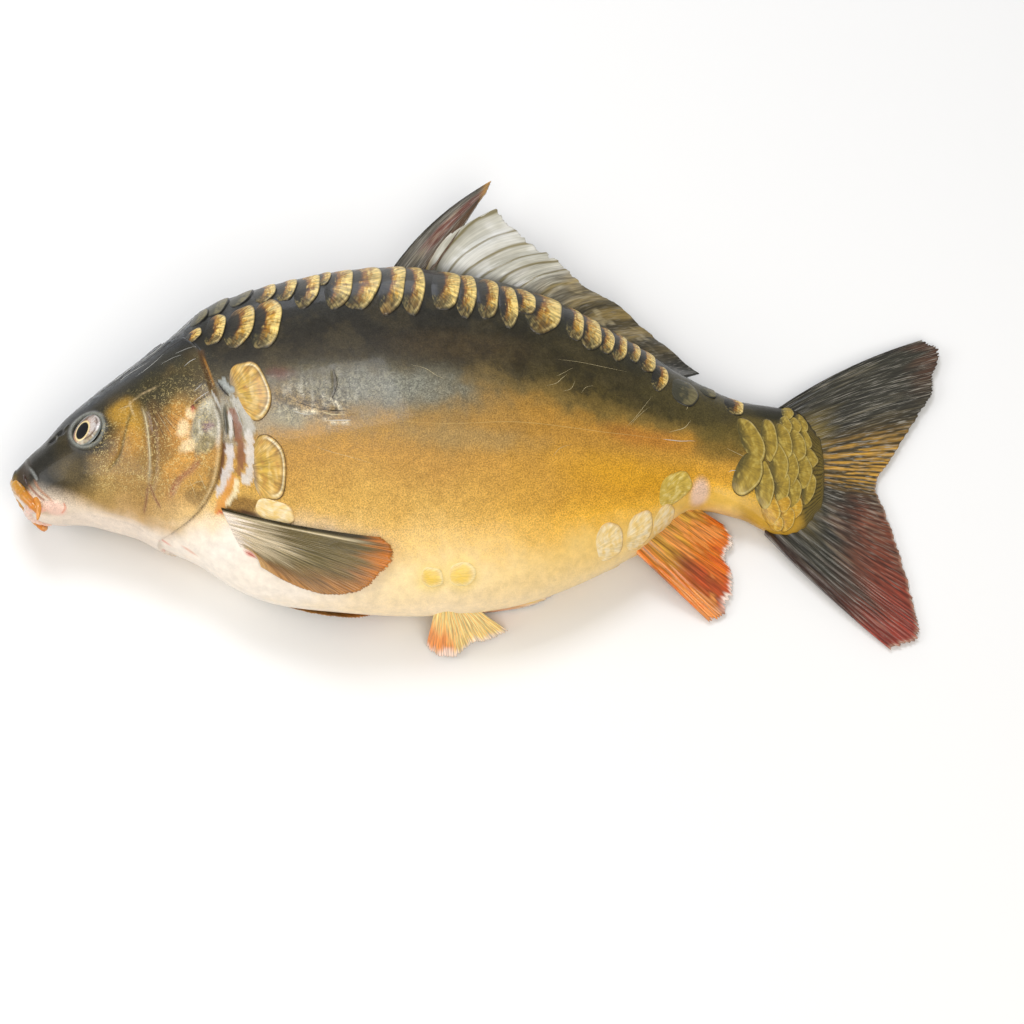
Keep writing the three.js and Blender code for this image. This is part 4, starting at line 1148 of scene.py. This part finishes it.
# Wet fin web: clear thin skin between horny rays, lit and dark in fibres that run along the rays.
# Where it has dried a little, pale hairs of slime lie on it. Real fibres are too fine to show, so these
# are drawn as coarse as they need to be.
fin_web = empty_material("wet_fin_web")
painted = node(fin_web, "ShaderNodeAttribute", {"attribute_name": "tint"})
ray_spot = node(fin_web, "ShaderNodeAttribute", {"attribute_name": "ray"}).outputs["Vector"]
finishes = node(fin_web, "ShaderNodeAttribute", {"attribute_name": "finish"}).outputs["Vector"]
shares = node(fin_web, "ShaderNodeSeparateXYZ", Vector=finishes)
fibres = node(fin_web, "ShaderNodeTexNoise", {"Scale": 1.0, "Detail": 3.0, "Roughness": 0.6}, Vector=ray_spot)
hairs = node(fin_web, "ShaderNodeTexNoise", {"Scale": 1.7, "Detail": 2.0, "Roughness": 0.5}, Vector=ray_spot)
fibre_light = node(fin_web, "ShaderNodeMapRange", {1: 0.34, 2: 0.66, 3: -0.5, 4: 0.4}, Value=fibres)
light = node(fin_web, "ShaderNodeMath", ONE_PLUS, in0=fibre_light, in1=shares.outputs["Y"])
web = node(fin_web, "ShaderNodeVectorMath", {"operation": "SCALE"}, in0=painted, in3=light)
pale = node(fin_web, "ShaderNodeMapRange", {1: 0.56, 2: 0.68, 3: 0.0, 4: 1.0}, Value=hairs)
share = node(fin_web, "ShaderNodeMath", MULTIPLY, in0=pale, in1=shares.outputs["X"])
dried = {"data_type": "RGBA", 7: (*rgb("#b4aea0"), 1)}
colour = node(fin_web, "ShaderNodeMix", dried, in0=share, in6=web)
bump = node(fin_web, "ShaderNodeBump", {"Strength": 0.5, "Distance": 0.25 * MM}, Height=fibres)
surface = node(
    fin_web,
    "ShaderNodeBsdfPrincipled",
    {"Roughness": 0.32, "IOR": 1.45, "Coat Weight": 0.35, "Coat Roughness": 0.1},
    Base_Color=colour.outputs[2],
    Normal=bump,
)
node(fin_web, "ShaderNodeOutputMaterial", Surface=surface)


def spaced(line, power, count):
    """count places along a line of (x, y, z), crowded towards its start or end by a power."""
    places = curve(line, SMOOTH)
    share = np.linspace(0, 1, SMOOTH)
    at = np.linspace(0, 1, count) ** power
    return np.stack([np.interp(at, share, places[:, axis]) for axis in range(3)], axis=1)


def fin(name, root, rim, rays, thick, thin, look, bow=lambda u: 0, torn=0.05, notch=0.02, pleat=0.0, arch=0.0,
        forks=(0.3, 0.62), slant=(1, 1), hairy=lambda u: 0, fibrous=lambda u: 1, seed=0):
    """A ribbed web from root to rim, both from the front ray to the last, as (x, y, z) in mm.

    u runs from 0 at the front ray to 1 at the last, and v from the root to the rim. bow(u) bends a ray
    sideways, arch lifts its middle, slant lays the middle rays back, and the rays double at each fork.
    look(u, v, rib, rough) gives the colours, hairy(u) how many pale hairs show and fibrous(u) how strong
    the fibres are."""
    columns = PER_RAY * (rays - 1) + 1
    u = np.linspace(0, 1, columns)
    v = np.linspace(0, 1, ROWS)
    start = spaced(root, slant[0], columns)
    end = spaced(rim, slant[1], columns)
    phase = u * (rays - 1)
    waver = np.array([[noise.noise(Vector((p * 1.3, q * 3, seed))) for q in v] for p in phase])
    wandering = phase[:, None] + 0.16 * waver * ease(0, 0.3, v)
    rib = 0.5 + 0.5 * np.cos(2 * math.pi * wandering)
    for number, fork in enumerate(forks):
        finer = 0.5 + 0.5 * np.cos(4 * 2 ** number * math.pi * wandering)
        rib = mix(rib, finer, ease(fork - 0.08, fork + 0.1, v)[None, :])
    fray = np.array([noise.fractal(Vector((k * 2.3 + seed, 4.7, seed)), 0.6, 2.0, 3) for k in phase])
    length = 1 - notch * (1 - rib[:, -1]) - torn * np.clip(fray + 0.2, 0, 1)
    ray = (end - start) * length[:, None]
    sideways = np.stack([-ray[:, 1], ray[:, 0], np.zeros(columns)], axis=1)
    sideways /= np.linalg.norm(sideways, axis=1, keepdims=True)
    sideways *= np.array([bow(k) for k in u])[:, None]
    hump = 4 * v * (1 - v)
    middle = start[:, None] + ray[:, None] * v[:, None] + sideways[:, None] * hump[:, None]
    middle[:, :, 2] += pleat * np.sin(math.pi * phase)[:, None] * np.sin(math.pi * v * 0.8)
    middle[:, :, 2] += arch * hump
    half = mix(thick, thin, v ** 0.7) * mix(0.34, 0.46, rib) + 0.12 * rib
    upper = middle.copy()
    lower = middle.copy()
    upper[:, :, 2] = np.maximum(2 * half, middle[:, :, 2] + half)
    lower[:, :, 2] = np.maximum(0.05, middle[:, :, 2] - half)
    places = np.concatenate([upper.reshape(-1, 3), lower.reshape(-1, 3)])
    under = columns * ROWS
    faces = []
    for low in range(0, under - ROWS, ROWS):
        high = low + ROWS - 1
        for k in range(low, high):
            faces.append((k, k + ROWS, k + ROWS + 1, k + 1))
            faces.append((under + k, under + k + 1, under + k + ROWS + 1, under + k + ROWS))
        faces.append((low, under + low, under + low + ROWS, low + ROWS))
        faces.append((high + ROWS, under + high + ROWS, under + high, high))
    for j in range(ROWS - 1):
        last = under - ROWS + j
        faces.append((j + 1, under + j + 1, under + j, j))
        faces.append((last, under + last, under + last + 1, last + 1))
    across = np.repeat(u, ROWS)
    out = np.tile(v, columns)
    spots = [Vector((a * (rays - 1) * 0.9, b * 2.2, seed + 0.5)) for a, b in zip(across, out)]
    rough = np.array([noise.fractal(spot, 0.7, 2.0, 3) for spot in spots])
    colours = look(across, out, rib.ravel(), rough)
    reach = np.linalg.norm(ray, axis=1).mean()
    own = np.full(under, seed * 2.1)  # a place of its own in the noise
    ray_field = np.stack([across * (rays - 1) * FIBRES, out * reach / FIBRE_LONG, own], axis=1)
    finish = np.array([(hairy(k), fibrous(k), 0) for k in across])
    fields = {"tint": colours, "ray": ray_field, "finish": finish}
    fields = {field: np.tile(values, (2, 1)) for field, values in fields.items()}  # upper face and lower
    piece(name, places, faces, fin_web, fields)


def spine_look(u, v, rib, rough):
    """Horn grey, rusty along its middle and brown behind, with an ochre tip."""
    rusty = ease(0.2, 0.36, u) * (1 - ease(0.5, 0.66, u)) * ease(0.15, 0.4, v)
    return coats(
        "#6a655a",
        (rusty * 0.7, "#7b3d30"),
        (ease(0.5, 0.8, u), "#5d432c"),
        (1 - ease(0.02, 0.12, u), "#38332b"),
        (ease(0.1, 0.5, rough) * 0.4, "#b3a68c"),
        (ease(0.9, 1.0, v), "#b58a4a"),
        ((1 - ease(0.05, 0.25, v)) * 0.7, "#3c382c"),
    )


SPINE_TIP = [(43.5, 143, 26), (42.4, 140, 26), (41, 136.5, 26.4), (39, 134, 26.6)]
fin("fin_back_spine", skin((-7, 0, 7, 13), 0, -3), SPINE_TIP, 4, 5, 1.6, spine_look,
    bow=lambda u: mix(4.5, 0, u), torn=0.03, hairy=lambda u: 0.5, seed=1)


def back_look(u, v, rib, rough):
    """Parchment in front with thin olive rays, and dark khaki behind."""
    behind = ease(0.42, 0.72, u)
    return coats(
        "#c6c3b4",
        (ease(0.0, 0.5, rough) * 0.6, "#e9e7df"),
        (ease(0.1, 0.6, -rough) * 0.4, "#a09b86"),
        (ease(0.86, 0.99, rib) * 0.85, "#7a6d3a"),
        (ease(0.42, 0.72, u + 0.1 * rough), "#857244"),
        (behind * (1 - ease(0.2, 0.7, rib)) * 0.8, "#383324"),
        (ease(0.45, 0.7, u) * ease(0.2, 0.6, rough) * 0.5, "#bfb08a"),
        (ease(0.8, 0.98, u), "#34322b"),
        ((1 - ease(0.04, 0.3, v)) * 0.85, "#3b382a"),
        ((1 - ease(0.0, 0.05, u)) * 0.8, "#8f7a4a"),
    )


BACK_RIM = [
    (27, 115, 29), (37, 121, 27), (47, 127.5, 26), (55, 116, 27), (63, 109, 27), (72, 102, 27), (79, 97, 26),
    (86, 89, 25), (105, 78, 21), (124, 62, 16), (146, 44.5, 11),
]
fin("fin_back", skin((12, 36, 60, 84, 108, 134), 0, -3), BACK_RIM, 13, 4.2, 0.9, back_look,
    bow=lambda u: 6 * (1 - u), pleat=1.5, forks=(), slant=(1.5, 0.65), hairy=lambda u: 0.3 * u,
    fibrous=lambda u: mix(0.3, 1, ease(0.3, 0.6, u)), seed=2)


def tail_look(u, v, rib, rough):
    """Slate above, gold rays in the fork, and slate turning to dark red below."""
    fork = ease(0.3, 0.46, u + 0.05 * rough) * (1 - ease(0.52, 0.62, u))
    gold = ease(0.36, 0.45, u) * (1 - ease(0.52, 0.6, u)) * ease(0.3, 0.6, rib + 0.4 * rough)
    upper_tip = (1 - ease(0.1, 0.35, u)) * ease(0.75, 1.0, v + 0.15 * rough)
    glow = (1 - ease(0.06, 0.32, v + 0.1 * rough)) * ease(0.12, 0.3, u) * (1 - ease(0.72, 0.9, u))
    return coats(
        "#37352a",
        (ease(0.0, 0.5, rough) * 0.35, "#57523f"),
        (fork, "#5f4d26"),
        (gold * ease(0.1, 0.3, v), "#c4943a"),
        (ease(0.55, 0.68, u) * ease(0.3, 0.8, v + 0.15 * rough), "#76402c"),
        (ease(0.68, 0.9, u) * ease(0.5, 0.98, v + 0.1 * rough), "#963626"),
        (upper_tip * 0.7, "#5f3926"),
        (ease(0.1, 0.5, rough) * ease(0.5, 0.9, rib) * 0.35, "#857c68"),
        ((1 - ease(0.1, 0.45, rib)) * 0.5, "#17150f"),
        (ease(0.93, 1.0, u) * (1 - ease(0.6, 0.9, v)) * 0.9, "#33190f"),
        ((1 - ease(0.0, 0.035, u)) * 0.8, "#1f1f1a"),
        (glow * 0.85, "#857235"),
        (ease(0.975, 1.0, v) * ease(0.42, 0.62, u) * 0.7, "#c9a58c"),
    )


TAIL_ROOT = [(184, 25, 10.5), (192, 18, 9.4), (196, 3, 9), (195, -14, 9), (188, -30, 9.6), (176, -39.5, 10.5)]
TAIL_RIM = [
    (257.5, 65.5, 5), (266, 60, 4.5), (262, 46, 4), (261.5, 38, 4), (254.5, 26, 3.4), (240, 2.5, 3),
    (232, -11, 3), (236.5, -27.5, 3), (243, -51, 2.4), (248.5, -78, 2), (249.5, -90, 2), (236, -97, 2),
]
fin("fin_tail", TAIL_ROOT, TAIL_RIM, 19, 6, 0.8, tail_look,
    bow=lambda u: (3.4 if u < 0.5 else -1.5) * abs(1 - 2 * u), torn=0.02, notch=0.012, forks=(0.25, 0.55),
    hairy=lambda u: mix(0.6, 0.25, ease(0.5, 0.75, u)), seed=3)


def anal_look(u, v, rib, rough):
    """Orange with a yellow root, a rusty streak behind the front rays and a white torn rim."""
    rust = ease(0.12, 0.24, u + 0.05 * rough) * (1 - ease(0.3, 0.46, u)) * ease(0.15, 0.5, v)
    return coats(
        "#e87a22",
        ((1 - ease(0.15, 0.6, v + 0.25 * rough)) * ease(0.05, 0.25, u), "#dba53a"),
        ((1 - ease(0.2, 0.6, rib)) * (1 - ease(0.35, 0.8, v)) * 0.6, "#a5701f"),
        (rust * 0.8, "#8e3a1e"),
        (ease(0.05, 0.4, rough) * 0.6, "#f0a050"),
        (ease(0.05, 0.5, -rough) * ease(0.3, 0.7, v) * 0.5, "#cb4f24"),
        (ease(0.9, 0.98, v + 0.06 * rough) * ease(0.12, 0.3, u), "#f6e4d6"),
        (1 - ease(0.0, 0.06, v), "#d9a03a"),
    )


ANAL_RIM = [
    (149, -82.5, 2), (155.5, -79.5, 2), (161, -68, 2), (160, -56, 2.5), (157.5, -49, 3), (161.5, -42, 4),
    (157, -34, 6),
]
fin("fin_anal", skin((112, 119, 126, 133, 140), 180, -2.5), ANAL_RIM, 9, 5, 0.8, anal_look,
    notch=0.03, seed=4)


def pectoral_look(u, v, rib, rough):
    """Olive, with pale rays at the root and an orange rim behind a dark front ray."""
    outer = u * 0.5 + v * 0.62 + 0.06 * rough
    low = ease(0.25, 0.8, u)
    pale = (1 - ease(0.1 + 0.2 * low, 0.42 + 0.25 * low, v + 0.14 * rough)) * ease(0.02, 0.12, u)
    second_ray = np.exp(-((u - 0.125) / 0.022) ** 2)
    return coats(
        "#665a34",
        (ease(0.6, 0.95, rib) * 0.45, "#b59f6e"),
        (ease(0.6, 0.9, outer) * ease(0.3, 0.6, v) * 0.75, "#8d6234"),
        (pale * mix(0.7, 0.95, rib), "#dccaa8"),
        (ease(0.8, 1.08, outer) * ease(0.4, 0.8, v) * 0.85, "#b9803a"),
        (ease(0.8, 1.02, v + 0.08 * rough) * (1 - ease(0.4, 0.75, u)), "#cc7c2c"),
        (ease(0.86, 1.0, u) * ease(0.1, 0.3, v) * 0.8, "#cda468"),
        ((1 - ease(0.05, 0.1, u)) * (1 - ease(0.85, 1.0, v)), "#3a300f"),
        (second_ray * (1 - ease(0.7, 0.95, v)) * 0.85, "#e3d3ad"),
        ((1 - ease(0.04, 0.2, v + 0.14 * rough)) * ease(0.05, 0.15, u), "#f6eadb"),
    )


PECTORAL_ROOT = [(-83, 134), (-80, 139), (-77, 144), (-74, 149)]  # x, angle
PECTORAL_RIM = [  # x, angle, height over the skin
    (-7, 135.5, 4), (-2, 139, 4.5), (-1.5, 143, 4.5), (-6, 148.5, 4), (-16, 158, 3.5), (-33, 163, 3),
    (-52, 158, 2.5), (-64, 153, 2),
]
for side in (1, -1):
    x, angle = np.array(PECTORAL_ROOT).T
    root = skin(x, angle if side > 0 else 360 - angle, -1.2)
    x, angle, lift = np.array(PECTORAL_RIM).T
    rim = skin(x, angle if side > 0 else 360 - angle, lift)
    fin("fin_pectoral_left" if side > 0 else "fin_pectoral_right", root, rim, 19, 4.4, 0.8, pectoral_look,
        bow=lambda u: mix(-5, 3, u) * side * 0.6, torn=0.02, notch=0.01, arch=3.4 * side, seed=5 + side)


def pelvic_look(u, v, rib, rough):
    """Yellow with orange between the rays and a pale rim."""
    return coats(
        "#fbe08e",
        ((1 - ease(0.2, 0.7, rib)) * 0.6, "#f3ad3e"),
        (ease(0.45, 0.9, u + 0.2 * rough) * ease(0.25, 0.7, v), "#f08f36"),
        (ease(0.86, 1.0, v + 0.1 * rough) * 0.8, "#fbe6da"),
    )


LEFT_PELVIC_RIM = [
    (52, -87, 1.6), (43, -91.5, 1.5), (34, -94, 1.5), (27, -100, 1.5), (18, -99.5, 1.5), (12.5, -95, 1.6),
]
RIGHT_PELVIC_RIM = [(74, -58, 1.4), (76, -65, 1.3), (70, -71, 1.3), (58, -75, 1.3), (46, -77, 1.4)]
left_root = skin((31, 25, 18), (171, 173, 175), -1.5)
right_root = skin((31, 25, 18), (196, 193, 190), -1.5)
fin("fin_pelvic_left", left_root, LEFT_PELVIC_RIM, 9, 4, 0.7, pelvic_look, seed=8)
fin("fin_pelvic_right", right_root, RIGHT_PELVIC_RIM, 9, 4, 0.7, pelvic_look, seed=9)

# Floor, lights and camera
# Matt white paper under four soft boxes, the widest in front, with even fill from all round. The camera
# looks down at the left flank from the belly side. These sizes are in metres.

FLOOR = 4.0  # half its side
FLOOR_DROP = 0.0002  # the fish lies this far over it, so that no faces share a plane
FILL = 0.36
corners = [(-FLOOR, -FLOOR, 0), (FLOOR, -FLOOR, 0), (FLOOR, FLOOR, 0), (-FLOOR, FLOOR, 0)]
floor_mesh = bpy.data.meshes.new("floor")
floor_mesh.from_pydata(corners, [], [(0, 1, 2, 3)])
floor = bpy.data.objects.new("floor", floor_mesh)
bpy.context.collection.objects.link(floor)
floor.location.z = -FLOOR_DROP
paper = empty_material("white_paper")
matt = {"Base Color": (*rgb("#f6f6f5"), 1), "Roughness": 0.7}
surface = node(paper, "ShaderNodeBsdfPrincipled", matt)
node(paper, "ShaderNodeOutputMaterial", Surface=surface)
floor_mesh.materials.append(paper)

LIGHTS = [  # place in metres, watts, size in metres, colour
    ((-0.20, 0.62, 1.45), 8.5, 0.55, "#f7f9ff"),
    ((0.25, -0.95, 1.4), 14, 1.1, "#fffaf2"),
    ((-1.1, -0.1, 0.8), 5, 0.7, "#ffffff"),
    ((-0.25, 1.7, 0.3), 3, 0.5, "#eef3ff"),
]
LIT = Vector((0.03, 0.02, 0.03))  # what they point at
for number, (place, watts, size, hexcode) in enumerate(LIGHTS):
    lamp = bpy.data.lights.new(f"softbox_{number}", "AREA")
    lamp.energy = watts
    lamp.size = size
    lamp.color = rgb(hexcode)
    holder = bpy.data.objects.new(f"softbox_{number}", lamp)
    holder.location = place
    holder.rotation_euler = (LIT - Vector(place)).to_track_quat("-Z", "Y").to_euler()
    bpy.context.collection.objects.link(holder)
world = bpy.data.worlds.new("studio")
bpy.context.scene.world = world
world.use_nodes = True
sky = world.node_tree.nodes["Background"]
sky.inputs["Color"].default_value = (*rgb("#ffffff"), 1)
sky.inputs["Strength"].default_value = FILL
bpy.context.scene.view_settings.view_transform = "Standard"

ELEVATION = math.radians(68)
DISTANCE = 1.717
AIM = Vector((0.0538, -0.0354, 0.0270))
towards_camera = Vector((0, -math.cos(ELEVATION), math.sin(ELEVATION)))
lens = bpy.data.cameras.new("camera")
lens.lens = 125.75  # mm
lens.sensor_width = 36  # mm
camera = bpy.data.objects.new("camera", lens)
camera.location = AIM + DISTANCE * towards_camera
camera.rotation_euler = (math.pi / 2 - ELEVATION, 0, 0)
bpy.context.collection.objects.link(camera)
bpy.context.scene.camera = camera
